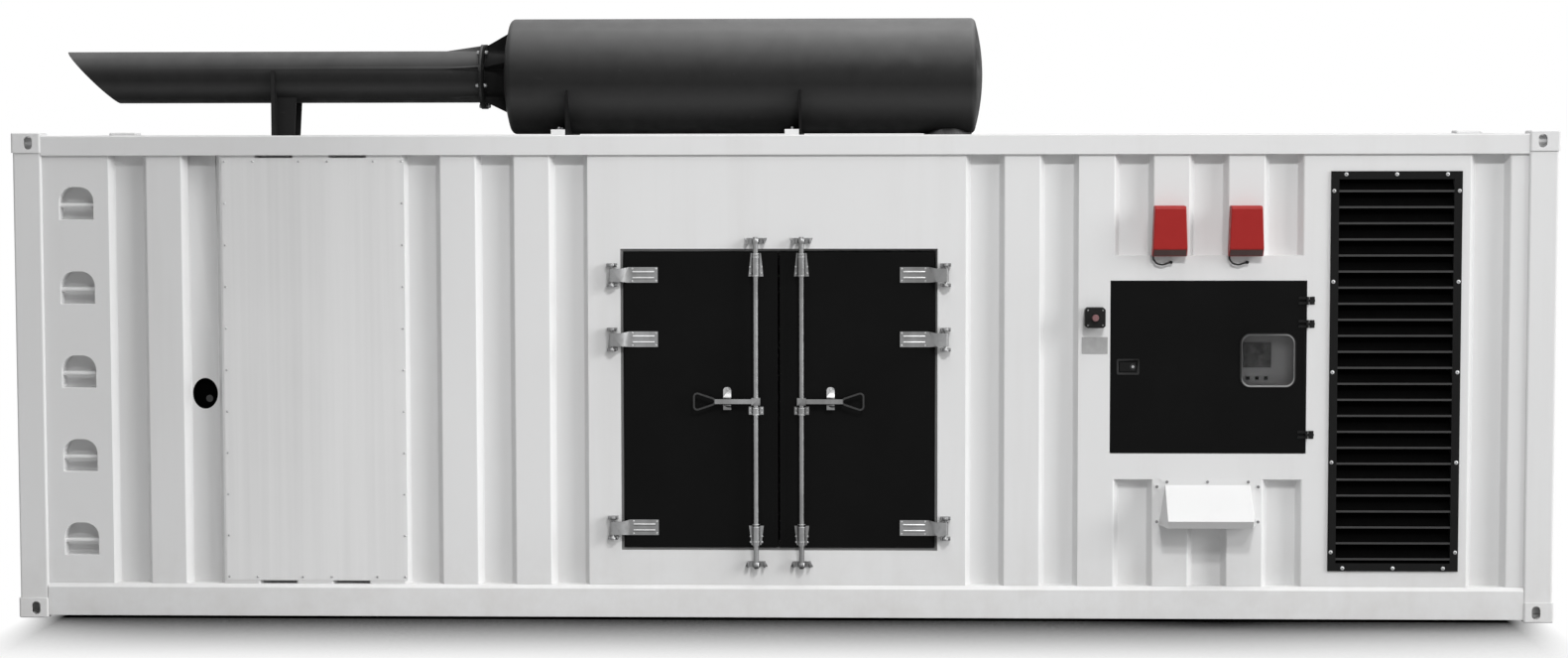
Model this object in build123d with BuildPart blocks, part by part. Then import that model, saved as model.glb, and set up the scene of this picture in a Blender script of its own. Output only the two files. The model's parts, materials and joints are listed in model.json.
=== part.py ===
from build123d import *
import os
from math import atan, cos, floor, radians, sin, sqrt

os.makedirs("parts", exist_ok=True)

# Enclosed diesel generator in a 30 ft high-cube steel container, in millimetres.
# X runs along the length, the front with the doors faces -Y, and Z is up from the ground.
# The origin is the middle of the footprint on the ground, under the bottom corner castings.

# Container frame
width = 2438.0
height = 2896.0
casting_l = 178.0
casting_w = 162.0
casting_h = 118.0
casting_r = 14.0
casting_bevel = 6.0
casting_wall = 12.0
casting_plate = 28.0
slot_l = 124.5
slot_w = 63.5
slot_from_end = 103.5
slot_from_side = 89.5
hole_h = 79.0
hole_w = 51.0
casting_proud = 8.0
post_t = 10.0
rail_t = 8.0
bottom_rail_z = 15.0
bottom_rail_top = 208.0
rail_bevel_h = 22.0
top_rail_drop = 18.0
top_rail_h = 116.0
top_rail_round = 8.0

# Walls: corrugated outer sheet, flat inner lining
set_back = 25.0
wall_t = 120.0
recess_depth = 62.0
recess_w = 226.0
recess_run = 27.0
recess_pitch = 438.0

# Front panels from left to right; with the ladder, doors, bay and louvre they give the length
left_wall_w = 2854.0
surround_w_left = 192.0
surround_w_right = 165.0
middle_wall_w = 664.0
bay_to_louvre = 132.5
right_strip_w = 385.0

# Floor and roof
floor_top = 170.0
floor_t = 6.0
member_h = 104.0
member_w = 60.0
member_t = 6.0
member_pitch = 610.0
roof_drop = 46.0
roof_t = 88.0
roof_groove_depth = 20.0
roof_groove_w = 96.0
roof_groove_run = 22.0
roof_groove_pitch = 209.0
roof_groove_in = 70.0
roof_groove_clear = 130.0

# Built-in ladder near the left end
ladder_panel_w = 395.5
pocket_w = 204.0
pocket_h = 192.0
pocket_r = 84.0
pocket_depth = 98.0
pocket_pitch = 501.0
pocket_count = 5
pocket_first_drop = 188.0
pocket_x_in = 202.5
rung_d = 28.0
rung_drop = 108.0
rung_in = 34.0

# Oval port and screwed cover plate on the left wall
port_w = 150.0
port_h = 184.0
port_z = 1342.0
port_depth = 46.0
port_recess = 1
port_plug_d = 42.0
port_plug_in = 25.0
port_plug_down = 30.0
cover_first_recess = 1
cover_last_recess = 4
cover_gap_left = 15.0
cover_lap_right = 14.0
cover_gap_bottom = 20.0
cover_gap_top = 16.0
cover_t = 3.0

# Double doors
opening_w = 1876.0
door_head_h = 555.0
opening_z = 415.0
frame_t = 15.0
stop_w = 30.0
leaf_gap = 5.0
leaf_t = 60.0
leaf_skin_t = 8.0
leaf_core_inset = 20.0
meeting_gap = 12.0

# Door hinges
hinges_below_top = (154.0, 535.0)
hinge_above_bottom = 137.0
pin_out = 48.0
pin_forward = 40.0
pin_d = 16.0
pin_play = 0.5
barrel_d = 32.0
strap_h = 98.0
strap_tip_h = 70.0
strap_t = 8.0
strap_reach = 270.0
strap_bend_gap = 12.0
strap_joggle = 45.0
strap_rib_d = 14.0
strap_rib_in = 20.0
lug_t = 18.0
lug_play = 2.0
lug_w = 60.0

# Lock rods with cams, keepers, guides and handles
rod_u = 135.0
rod_d = 30.0
rod_forward = 45.0
rod_below = 103.0
rod_above = 71.0
cam_h = 26.0
cam_reach = 32.0
cam_hub_d = 46.0
cam_width = 26.0
keeper_w = 134.0
keeper_h = 46.0
keeper_t = 8.0
keeper_ear_t = 12.0
keeper_mouth = 84.0
keeper_reach = 52.0
guide_w = 87.0
guide_wall = 6.0
guide_play = 0.5
top_guide_drops = (163.0, 25.0)
middle_guide_drops = (81.0, 34.0)
bottom_guide_rises = (33.0, 148.0)
handle_up = 891.0
handle_bar_h = 28.0
handle_bar_t = 12.0
handle_hub = 52.0
handle_hub_depth = 42.0
handle_hub_h = 44.0
handle_reach = 233.0
grip_l = 138.0
grip_h = 122.0
grip_d = 10.0
grip_r = 20.0
catch_u = 283.0
catch_w = 47.0
catch_play = 5.0
catch_t = 5.0
catch_h = 140.0
catch_reach = 58.0

# Control bay
bay_z = 844.0
bay_head_h = 147.0
control_in = 192.0
control_up = 158.0
control_w = 1143.0
control_h = 1012.0
control_t = 40.0
control_gap = 5.0
cabinet_depth = 300.0
cabinet_t = 20.0
panel_back = 60.0
panel_t = 5.0
window_in = 221.0
window_up = 546.0
window_w = 316.0
window_h = 309.0
window_r = 58.0
gasket_w = 14.0
gasket_out = 5.0
pane_t = 6.0
display_w = 164.0
display_h = 148.0
display_out = 12.0
display_in = 53.0
display_up = 26.0
key_size = 20.0
key_drop = 111.0
key_pitch = 53.0
control_hinge_ups = (899.0, 762.0, 108.0)
control_pin_forward = 12.0
control_pin_out = 2.0
control_pin_d = 8.0
control_barrel_d = 16.0
control_hinge_h = 46.0
control_hinge_w = 44.0
control_hinge_t = 4.0
knuckle_gap = 0.5
latch_in = 100.0
latch_up = 508.0
latch_w = 134.0
latch_h = 94.0
latch_rim = 5.0
latch_rim_t = 3.0
latch_rim_r = 10.0
dish_wall = 8.0
paddle_gap = 5.0
paddle_t = 6.0
paddle_pin_d = 6.0

# Things on the front wall
siren_w = 204.0
siren_top_w = 182.0
siren_h = 297.0
siren_depth = 104.0
siren_below = 3.0
siren_ins = (528.0, 973.0)
siren_back = 20.0
siren_back_h = 30.0
siren_lip_h = 44.0
siren_brow = 12.0
siren_brow_h = 14.0
lead_d = 8.0
lead_in = 9.0
lead_drops = ((0.0, 16.0), (18.0, 42.0), (52.0, 52.0))
lead_bends = (14.0, 26.0, 40.0)
gland_in = 96.0
gland_drop = 38.0
gland_d = 18.0
gland_l = 26.0
gland_sit = 2.0
estop_in = 95.0
estop_up = 959.0
estop_w = 120.0
estop_depth = 70.0
estop_corner = 12.0
estop_button_d = 42.0
estop_button_h = 16.0
estop_button_taper = 12.0
estop_stem_d = 21.0
estop_stem_l = 35.0
estop_head_gap = 5.0
estop_travel = 5.0
tag_in = 96.0
tag_up = 792.0
tag_w = 152.0
tag_h = 99.0
tag_t = 2.0
hood_in = 765.0
hood_w = 568.0
hood_below = 271.0
hood_h = 275.0
hood_flange = 38.0
hood_reach = 210.0
hood_lip_h = 47.0
hood_t = 4.0

# Air louvres
louvre_w = 765.0
louvre_above = 94.0
louvre_below = 102.0
louvre_border = 47.0
louvre_out = 10.0
louvre_depth = 90.0
louvre_lap = 12.0
blade_count = 24
blade_t = 4.0
blade_nose = 12.0
blade_proud = 8.0
blade_back = 6.0
blade_overlap = 10.0
blade_start_share = 0.2
right_recess_in = 331.5
outlet_w = 1550.0
outlet_below_top = 312.0
outlet_z = 500.0
outlet_blades = 20

# Roof exhaust
silencer_gap = 33.0
silencer_x = -268.0
silencer_l = 3000.0
silencer_d = 720.0
silencer_dish = 52.0
silencer_knuckle = 34.0
pipe_d = 323.9
pipe_t = 7.1
neck_l = 127.0
tail_l = 2638.0
flange_d = 404.0
flange_t = 18.0
fin_l = 232.0
fin_t = 8.0
fin_count = 5
fin_in = 8.0
fin_rise = 84.0
saddle_ins = (425.0, 1868.0)
saddle_t = 12.0
saddle_w = 800.0
saddle_below_axis = 54.0
saddle_corner = 60.0
pad_w = 88.0
pad_h = 62.0
pad_l = 300.0
stub_in = 215.0
stub_d = 300.0
collar_d = 400.0
collar_t = 14.0
stand_from_flange = 1309.0
stand_t = 23.0
stand_side = 24.0
stand_above_axis = 40.0
stand_foot = 116.0
stand_head = 140.0
stand_cheek_y = 90.0
stand_cheek_t = 10.0

# Clearance between pieces that seat on each other
fit = 0.3

# Derived places
bay_w = control_in + control_w + control_gap
length = (2 * casting_l + ladder_panel_w + left_wall_w + surround_w_left + opening_w
          + surround_w_right + middle_wall_w + bay_w + bay_to_louvre + louvre_w + right_strip_w)
half_l = length / 2
half_w = width / 2
casting_x = half_l - casting_l / 2
casting_y = -half_w + casting_w / 2
slot_x = half_l - slot_from_end
slot_y = -half_w + slot_from_side
frame_x = half_l - casting_l
frame_y = half_w - casting_w
post_x = half_l - casting_proud
rail_y = -half_w + casting_proud
post_w = casting_l - casting_proud
rail_w = casting_w - casting_proud
land_y = -half_w + set_back
recess_y = land_y + recess_depth
inner_y = land_y + wall_t
wall_top = height - top_rail_drop - top_rail_h
roof_top = height - roof_drop
pocket_first_top = wall_top - pocket_first_drop
cover_z = bottom_rail_top + cover_gap_bottom
cover_top = wall_top - cover_gap_top
ladder_right = -frame_x + ladder_panel_w
opening_top = wall_top - door_head_h
opening_h = opening_top - opening_z
opening_mid = (opening_top + opening_z) / 2
surround_left = ladder_right + left_wall_w
jamb_left = surround_left + surround_w_left
jamb_right = jamb_left + opening_w
surround_right = jamb_right + surround_w_right
door_x = (jamb_left + jamb_right) / 2
hinge_levels = tuple(opening_top - drop for drop in hinges_below_top)
hinge_levels += (opening_z + hinge_above_bottom,)
handle_z = opening_z + handle_up
rod_z = opening_z - rod_below
rod_top = opening_top + rod_above
guide_levels = (tuple(opening_top - drop for drop in top_guide_drops),
                tuple(handle_z - drop for drop in middle_guide_drops),
                tuple(opening_z + rise for rise in bottom_guide_rises))
pin_u = opening_w / 2 + pin_out
pin_y = land_y - pin_forward
rod_y = land_y - rod_forward
leaf_outer_u = opening_w / 2 - frame_t - leaf_gap
leaf_inner_u = meeting_gap / 2
leaf_z = opening_z + frame_t + leaf_gap
leaf_top = opening_top - frame_t - leaf_gap
bay_left = surround_right + middle_wall_w
bay_right = bay_left + bay_w
louvre_left = bay_right + bay_to_louvre
louvre_right = louvre_left + louvre_w
louvre_x = (louvre_left + louvre_right) / 2
louvre_z = bottom_rail_top + louvre_above
louvre_top = wall_top - louvre_below
louvre_h = louvre_top - louvre_z
hole_left = louvre_left + louvre_lap
hole_right = louvre_right - louvre_lap
hole_z = louvre_z + louvre_lap
hole_top = louvre_top - louvre_lap
outlet_h = wall_top - outlet_below_top - outlet_z
right_recess_x = frame_x - right_recess_in
control_x = bay_left + control_in
control_right = control_x + control_w
control_z = bay_z + control_up
control_top = control_z + control_h
bay_top = control_top + control_gap + bay_head_h
window_x = control_right - window_in
window_z = control_z + window_up
latch_x = control_x + latch_in
latch_z = control_z + latch_up
siren_xs = [bay_left + siren_in for siren_in in siren_ins]
siren_z = bay_top - siren_below
hood_x = bay_left + hood_in
hood_z = bay_z - hood_below
hood_top = hood_z + hood_h
hood_lip_z = hood_z + hood_lip_h
exhaust_z = roof_top + silencer_gap + silencer_d / 2
silencer_left = silencer_x - silencer_l / 2
silencer_right = silencer_x + silencer_l / 2
saddle_xs = [silencer_left + saddle_in for saddle_in in saddle_ins]
saddle_h = exhaust_z - saddle_below_axis - roof_top
stub_x = silencer_right - stub_in
flange_x = silencer_left - neck_l
pipe_end_x = flange_x - tail_l
stand_x = flange_x - stand_from_flange
stand_top = exhaust_z + stand_above_axis


def block(x, y, z, mode=Mode.ADD):
    """A plain block between two places along each axis."""
    middle = ((x[0] + x[1]) / 2, (y[0] + y[1]) / 2, (z[0] + z[1]) / 2)
    with Locations(middle):
        Box(x[1] - x[0], y[1] - y[0], z[1] - z[0], mode=mode)


def save(piece, name):
    """Label a finished piece and write its STEP file."""
    piece.part.label = name
    export_step(piece.part, "parts/" + name + ".step")


def corner_castings(z_from, plate_at_top):
    """Four hollow castings with a slotted plate and holes in their outer sides."""
    middle_z = z_from + casting_h / 2
    cavity_z = z_from + (casting_wall if plate_at_top else casting_plate)
    cavity_h = casting_h - casting_wall - casting_plate
    slot_z = cavity_z + cavity_h / 2
    slot_cut = casting_h if plate_at_top else -casting_h
    with BuildPart() as castings:
        with Locations((casting_x, casting_y, middle_z)):
            Box(casting_l, casting_w, casting_h)
        fillet(castings.edges().filter_by(Axis.Z), casting_r)
        chamfer(castings.edges().group_by(Axis.Z)[-1 if plate_at_top else 0], casting_bevel)
        with Locations((casting_x, casting_y, cavity_z + cavity_h / 2)):
            Box(casting_l - 2 * casting_wall, casting_w - 2 * casting_wall, cavity_h,
                mode=Mode.SUBTRACT)
        with BuildSketch(Plane.XY.offset(slot_z)):
            with Locations((slot_x, slot_y)):
                SlotOverall(slot_l, slot_w)
        extrude(amount=slot_cut, mode=Mode.SUBTRACT)
        with BuildSketch(Plane.XZ.offset(half_w)):
            with Locations((slot_x, middle_z)):
                SlotOverall(hole_h, hole_w, rotation=90)
        extrude(amount=-casting_w / 2, mode=Mode.SUBTRACT)
        with BuildSketch(Plane.YZ.offset(half_l)):
            with Locations((slot_y, middle_z)):
                SlotOverall(hole_h, hole_w, rotation=90)
        extrude(amount=-casting_l / 2, mode=Mode.SUBTRACT)
        mirror(about=Plane.YZ)
        mirror(about=Plane.XZ)
    return castings


def corrugated_wall(x_from, x_to, z_from, z_to, recess_starts):
    """A wall section with its outer face at the front and a flat inner face."""
    with BuildPart() as wall:
        with BuildSketch(Plane.XY.offset(z_from)):
            with Locations(((x_from + x_to) / 2, (land_y + inner_y) / 2)):
                Rectangle(x_to - x_from, wall_t)
            for start in recess_starts:
                with BuildLine():
                    Polyline((start, land_y), (start + recess_run, recess_y),
                             (start + recess_w - recess_run, recess_y),
                             (start + recess_w, land_y), close=True)
                make_face(mode=Mode.SUBTRACT)
        extrude(amount=z_to - z_from)
    return wall


def recesses_right_of(x_from, x_to):
    """Starts of the recesses that fit between two places, counted from the left."""
    count = floor((x_to - x_from - recess_w + 0.5) / recess_pitch) + 1
    return [x_from + k * recess_pitch for k in range(max(count, 0))]


def recesses_left_of(x_from, x_to):
    """Starts of the recesses that fit between two places, counted from the right."""
    count = floor((x_to - x_from - recess_w + 0.5) / recess_pitch) + 1
    return [x_to - recess_w - k * recess_pitch for k in range(max(count, 0))]


# Corner castings and posts
with BuildPart() as eight_castings:
    add(corner_castings(0, False).part)
    add(corner_castings(height - casting_h, True).part)
save(eight_castings, "corner_castings")

with BuildPart() as corner_posts:
    with BuildSketch(Plane.XY.offset(casting_h)):
        with Locations(((post_x + frame_x) / 2, (rail_y - frame_y) / 2)):
            RectangleRounded(post_w, rail_w, casting_r)
            Rectangle(post_w - 2 * post_t, rail_w - 2 * post_t, mode=Mode.SUBTRACT)
    extrude(amount=height - 2 * casting_h)
    mirror(about=Plane.YZ)
    mirror(about=Plane.XZ)
save(corner_posts, "corner_posts")

# Bottom rails with a bevelled top edge, and the end sills
with BuildPart() as bottom_side_rails:
    with BuildSketch(Plane.YZ.offset(-frame_x)) as rail_profile:
        with BuildLine():
            Polyline((rail_y, bottom_rail_z), (rail_y, bottom_rail_top - rail_bevel_h),
                     (land_y, bottom_rail_top), (-frame_y, bottom_rail_top),
                     (-frame_y, bottom_rail_z), close=True)
        make_face()
        offset(amount=-rail_t, kind=Kind.INTERSECTION, mode=Mode.SUBTRACT)
    extrude(amount=2 * frame_x)
    mirror(about=Plane.XZ)
save(bottom_side_rails, "bottom_side_rails")

with BuildPart() as end_sills:
    with BuildSketch(Plane.XZ.offset(-frame_y)):
        with BuildLine():
            Polyline((post_x, bottom_rail_z), (post_x, bottom_rail_top - rail_bevel_h),
                     (half_l - set_back, bottom_rail_top), (frame_x, bottom_rail_top),
                     (frame_x, bottom_rail_z), close=True)
        make_face()
        offset(amount=-rail_t, kind=Kind.INTERSECTION, mode=Mode.SUBTRACT)
    extrude(amount=2 * frame_y)
    mirror(about=Plane.YZ)
save(end_sills, "end_sills")

# Top rails and end headers, as box sections
with BuildPart() as top_side_rails:
    with BuildSketch(Plane.YZ.offset(-frame_x)) as top_rail:
        with Locations(((rail_y - frame_y) / 2, wall_top + top_rail_h / 2)):
            Rectangle(rail_w, top_rail_h)
            fillet(top_rail.vertices().group_by(Axis.X)[0].sort_by(Axis.Y)[-1], top_rail_round)
            Rectangle(rail_w - 2 * rail_t, top_rail_h - 2 * rail_t, mode=Mode.SUBTRACT)
    extrude(amount=2 * frame_x)
    mirror(about=Plane.XZ)
save(top_side_rails, "top_side_rails")

with BuildPart() as end_headers:
    with BuildSketch(Plane.XZ.offset(-frame_y)) as header:
        with Locations(((post_x + frame_x) / 2, wall_top + top_rail_h / 2)):
            Rectangle(post_w, top_rail_h)
            fillet(header.vertices().group_by(Axis.X)[-1].sort_by(Axis.Y)[-1], top_rail_round)
            Rectangle(post_w - 2 * rail_t, top_rail_h - 2 * rail_t, mode=Mode.SUBTRACT)
    extrude(amount=2 * frame_y)
    mirror(about=Plane.YZ)
save(end_headers, "end_headers")

# Floor plate on channel cross members
member_count = floor(2 * (frame_x - member_w) / member_pitch) + 1
with BuildPart() as floor_cross_members:
    with BuildSketch(Plane.XZ.offset(-frame_y)):
        with Locations((0, floor_top - floor_t - member_h / 2)):
            with GridLocations(member_pitch, 1, member_count, 1):
                Rectangle(member_w, member_h)
        with Locations((member_t, floor_top - floor_t - member_h / 2)):
            with GridLocations(member_pitch, 1, member_count, 1):
                Rectangle(member_w, member_h - 2 * member_t, mode=Mode.SUBTRACT)
    extrude(amount=2 * frame_y)
save(floor_cross_members, "floor_cross_members")

with BuildPart() as floor_plate:
    block((-frame_x, frame_x), (-frame_y, frame_y), (floor_top - floor_t, floor_top))
save(floor_plate, "floor_plate")

# Roof panel with shallow pressed grooves across it, left flat under whatever stands on it
standing_xs = [*saddle_xs, stub_x, stand_x + stand_head / 2]
groove_count = floor((2 * frame_x - roof_groove_pitch) / roof_groove_pitch)
groove_xs = [(k - (groove_count - 1) / 2) * roof_groove_pitch for k in range(groove_count)]
with BuildPart() as roof_panel:
    block((-frame_x, frame_x), (-frame_y, frame_y), (roof_top - roof_t, roof_top))
    with BuildSketch(Plane.XZ.offset(-frame_y + roof_groove_in)):
        for groove_x in groove_xs:
            if min(abs(groove_x - x) for x in standing_xs) > roof_groove_clear:
                half_top = roof_groove_w / 2
                half_bottom = half_top - roof_groove_run
                with BuildLine():
                    Polyline((groove_x - half_top, roof_top),
                             (groove_x - half_bottom, roof_top - roof_groove_depth),
                             (groove_x + half_bottom, roof_top - roof_groove_depth),
                             (groove_x + half_top, roof_top), close=True)
                make_face()
    extrude(amount=2 * (frame_y - roof_groove_in), mode=Mode.SUBTRACT)
save(roof_panel, "roof_panel")

# Built-in ladder: arched pockets in a flat panel, each with a round rung
pocket_x = -frame_x + pocket_x_in
pocket_tops = [pocket_first_top - k * pocket_pitch for k in range(pocket_count)]
with BuildPart() as ladder_panel:
    block((-frame_x, ladder_right), (land_y, inner_y), (bottom_rail_top, wall_top))
    for pocket_top in pocket_tops:
        with BuildSketch(Plane.XZ.offset(-land_y)) as pocket:
            with Locations((pocket_x, pocket_top - pocket_h / 2)):
                Rectangle(pocket_w, pocket_h)
            fillet(pocket.vertices().group_by(Axis.Y)[-1], pocket_r)
        extrude(amount=-pocket_depth, mode=Mode.SUBTRACT)
save(ladder_panel, "ladder_panel")

with BuildPart() as ladder_rungs:
    with BuildSketch(Plane.YZ.offset(pocket_x - pocket_w / 2)):
        for pocket_top in pocket_tops:
            with Locations((land_y + rung_in, pocket_top - rung_drop)):
                Circle(rung_d / 2)
    extrude(amount=pocket_w)
save(ladder_rungs, "ladder_rungs")

# Left front wall with its oval port, and the screwed cover plate over it
port_x = ladder_right + port_recess * recess_pitch + recess_w / 2
with BuildPart() as front_wall_left:
    add(corrugated_wall(ladder_right, surround_left, bottom_rail_top, wall_top,
                        recesses_right_of(ladder_right, surround_left)).part)
    with BuildSketch(Plane.XZ.offset(-recess_y)):
        with Locations((port_x, port_z)):
            Ellipse(port_w / 2, port_h / 2)
        with Locations((port_x + port_plug_in, port_z - port_plug_down)):
            Circle(port_plug_d / 2, mode=Mode.SUBTRACT)
    extrude(amount=-port_depth, mode=Mode.SUBTRACT)
save(front_wall_left, "front_wall_left")

cover_left = ladder_right + cover_first_recess * recess_pitch + recess_w + cover_gap_left
cover_right = ladder_right + cover_last_recess * recess_pitch + cover_lap_right
with BuildPart() as cover_plate:
    block((cover_left, cover_right), (land_y - cover_t, land_y), (cover_z, cover_top))
save(cover_plate, "cover_plate")

# Flat panels round the double doors, and the grey frame with its stop
with BuildPart() as door_side_panels:
    block((surround_left, jamb_left), (land_y, inner_y), (bottom_rail_top, wall_top))
    block((jamb_right, surround_right), (land_y, inner_y), (bottom_rail_top, wall_top))
save(door_side_panels, "door_side_panels")

with BuildPart() as door_head_and_sill:
    block((jamb_left, jamb_right), (land_y, inner_y), (opening_top, wall_top))
    block((jamb_left, jamb_right), (land_y, inner_y), (bottom_rail_top, opening_z))
save(door_head_and_sill, "door_head_and_sill")

with BuildPart() as door_frame:
    with BuildSketch(Plane.XZ.offset(-land_y)):
        with Locations((door_x, opening_mid)):
            Rectangle(opening_w, opening_h)
            Rectangle(opening_w - 2 * frame_t, opening_h - 2 * frame_t, mode=Mode.SUBTRACT)
    extrude(amount=-wall_t)
    with BuildSketch(Plane.XZ.offset(-inner_y)):
        with Locations((door_x, opening_mid)):
            Rectangle(opening_w - frame_t, opening_h - frame_t)
            Rectangle(opening_w - 2 * (frame_t + stop_w), opening_h - 2 * (frame_t + stop_w),
                      mode=Mode.SUBTRACT)
    extrude(amount=wall_t - leaf_t - leaf_gap)
save(door_frame, "door_frame")


def door_leaf(side):
    """One black leaf: a flat outer skin over a narrower insulated core."""
    middle_u = (leaf_outer_u + leaf_inner_u) / 2
    leaf_w = leaf_outer_u - leaf_inner_u
    with BuildPart() as leaf:
        with BuildSketch(Plane.XZ.offset(-land_y)):
            with Locations((door_x + side * middle_u, (leaf_z + leaf_top) / 2)):
                Rectangle(leaf_w, leaf_top - leaf_z)
        extrude(amount=-leaf_skin_t)
        with BuildSketch(Plane.XZ.offset(-land_y - leaf_skin_t)):
            with Locations((door_x + side * middle_u, (leaf_z + leaf_top) / 2)):
                Rectangle(leaf_w - 2 * leaf_core_inset, leaf_top - leaf_z - 2 * leaf_core_inset)
        extrude(amount=-(leaf_t - leaf_skin_t))
    return leaf


def hinge_straps(side):
    """Three straps, each joggled forward from the leaf to a barrel on the pin."""
    bend_u = leaf_outer_u + strap_bend_gap
    foot_u = bend_u - strap_joggle
    tip_u = pin_u - strap_reach
    front_y = pin_y - barrel_d / 2
    outline = ((pin_u, front_y), (bend_u, front_y), (foot_u, land_y - strap_t),
               (tip_u, land_y - strap_t), (tip_u, land_y), (foot_u + strap_t / 2, land_y),
               (bend_u + strap_t / 2, front_y + strap_t), (pin_u, front_y + strap_t))
    with BuildPart() as straps:
        for level in hinge_levels:
            with BuildSketch(Plane.XY.offset(level - strap_h / 2)):
                with BuildLine():
                    Polyline(*[(door_x + side * u, y) for u, y in outline], close=True)
                make_face()
                with Locations((door_x + side * pin_u, pin_y)):
                    Circle(barrel_d / 2)
                    Circle(pin_d / 2 + pin_play, mode=Mode.SUBTRACT)
            extrude(amount=strap_h)
        with BuildSketch(Plane.XZ.offset(-pin_y + barrel_d)):
            for level in hinge_levels:
                with BuildLine():
                    Polyline(*[(door_x + side * u, level + dz) for u, dz in (
                        (pin_u + barrel_d, -strap_h / 2), (foot_u, -strap_h / 2),
                        (tip_u, -strap_tip_h / 2), (tip_u, strap_tip_h / 2),
                        (foot_u, strap_h / 2), (pin_u + barrel_d, strap_h / 2))], close=True)
                make_face()
        extrude(amount=-(pin_forward + 2 * barrel_d), mode=Mode.INTERSECT)
        for rib_z in [level + dz for level in hinge_levels for dz in (-strap_tip_h / 4, strap_tip_h / 4)]:
            with BuildSketch(Plane.YZ.offset(door_x + side * (tip_u + foot_u) / 2)):
                with Locations((land_y - strap_t, rib_z)):
                    Circle(strap_rib_d / 2)
                    with Locations((strap_rib_d / 2, 0)):
                        Rectangle(strap_rib_d, 2 * strap_rib_d, mode=Mode.SUBTRACT)
            extrude(amount=(foot_u - tip_u) / 2 - strap_rib_in, both=True)
    return straps


def hinge_brackets():
    """Three pins a leaf, each held between two lugs on the panel beside it."""
    with BuildPart() as brackets:
        for side, level in [(side, level) for side in (-1, 1) for level in hinge_levels]:
            for lug_z in (level - strap_h / 2 - lug_play - lug_t, level + strap_h / 2 + lug_play):
                with BuildSketch(Plane.XY.offset(lug_z)):
                    with Locations((door_x + side * pin_u, (land_y + pin_y) / 2)):
                        Rectangle(lug_w, pin_forward)
                    with Locations((door_x + side * pin_u, pin_y)):
                        Circle(lug_w / 3)
                extrude(amount=lug_t)
            with BuildSketch(Plane.XY.offset(level - strap_h / 2 - lug_play - lug_t)):
                with Locations((door_x + side * pin_u, pin_y)):
                    Circle(pin_d / 2)
            extrude(amount=strap_h + 2 * (lug_play + lug_t))
    return brackets


def lock_rod(side):
    """A full-height rod with a cam at each end and a square hub for its handle."""
    with BuildPart() as rod:
        with BuildSketch(Plane.XY.offset(rod_z)):
            with Locations((door_x + side * rod_u, rod_y)):
                Circle(rod_d / 2)
        extrude(amount=rod_top - rod_z)
        for cam_z in (rod_z + keeper_h / 2 - cam_h / 2, rod_top - keeper_h / 2 - cam_h / 2):
            with BuildSketch(Plane.XY.offset(cam_z)):
                with Locations((door_x + side * rod_u, rod_y)):
                    Circle(cam_hub_d / 2)
                with Locations((door_x + side * rod_u, rod_y + cam_reach / 2 - cam_width / 4)):
                    Rectangle(cam_width, cam_reach - cam_width / 2)
                with Locations((door_x + side * rod_u, rod_y + cam_reach - cam_width / 2)):
                    Circle(cam_width / 2)
            extrude(amount=cam_h)
        with Locations((door_x + side * rod_u, rod_y, handle_z)):
            Box(handle_hub, handle_hub_depth, handle_hub_h)
    return rod


def lock_handle(side):
    """A flat bar out of the hub that ends in a rounded triangular grip."""
    bar_from = rod_u + handle_hub / 2
    bar_to = rod_u + handle_reach
    rise = (grip_h - grip_d) / 2
    half_angle = atan(rise / grip_l)
    apex_u = bar_to - grip_r / sin(half_angle) + grip_r
    base_u = bar_to + grip_l - grip_d / 2
    with BuildPart() as handle:
        with Locations((door_x + side * (bar_from + bar_to + grip_r / 2) / 2, rod_y, handle_z)):
            Box(bar_to - bar_from + grip_r / 2, handle_bar_t, handle_bar_h)
        with BuildSketch(Plane.XZ.offset(-rod_y - grip_d / 2)):
            with BuildLine():
                FilletPolyline((door_x + side * base_u, handle_z + rise),
                               (door_x + side * apex_u, handle_z),
                               (door_x + side * base_u, handle_z - rise),
                               radius=grip_r, close=True)
            make_face()
            offset(amount=grip_d / 2)
            offset(amount=-grip_d, mode=Mode.SUBTRACT)
        extrude(amount=grip_d)
    return handle


def rod_guides_and_catch(side):
    """Stamped guides that wrap the rod, and the catch that the handle rests over."""
    wrap = rod_d / 2 + guide_play
    with BuildPart() as fittings:
        for low, high in guide_levels:
            with BuildSketch(Plane.XY.offset(low)):
                with Locations((door_x + side * rod_u, land_y - guide_wall / 2)):
                    Rectangle(guide_w, guide_wall)
                with Locations((door_x + side * rod_u, (land_y + rod_y) / 2)):
                    Rectangle(2 * (wrap + guide_wall), rod_forward)
                with Locations((door_x + side * rod_u, rod_y)):
                    Circle(wrap + guide_wall)
                with Locations((door_x + side * rod_u, (land_y + rod_y) / 2)):
                    Rectangle(2 * wrap, rod_forward, mode=Mode.SUBTRACT)
                with Locations((door_x + side * rod_u, rod_y)):
                    Circle(wrap, mode=Mode.SUBTRACT)
            extrude(amount=high - low)
        shelf_top = handle_z - handle_bar_h / 2 - catch_play
        tab_z = handle_z + handle_bar_h / 2 + catch_play
        with BuildSketch(Plane.YZ.offset(door_x + side * (catch_u + catch_w / 2) - catch_w / 2)):
            with Locations((land_y - catch_t / 2, handle_z + catch_h / 2 - 3 * handle_bar_h / 2)):
                Rectangle(catch_t, catch_h)
            with Locations((land_y - catch_reach / 2, shelf_top - catch_t / 2)):
                Rectangle(catch_reach, catch_t)
            with Locations((land_y - catch_reach / 3, tab_z + catch_t / 2)):
                Rectangle(catch_reach * 2 / 3, catch_t)
        extrude(amount=catch_w)
    return fittings


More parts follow.
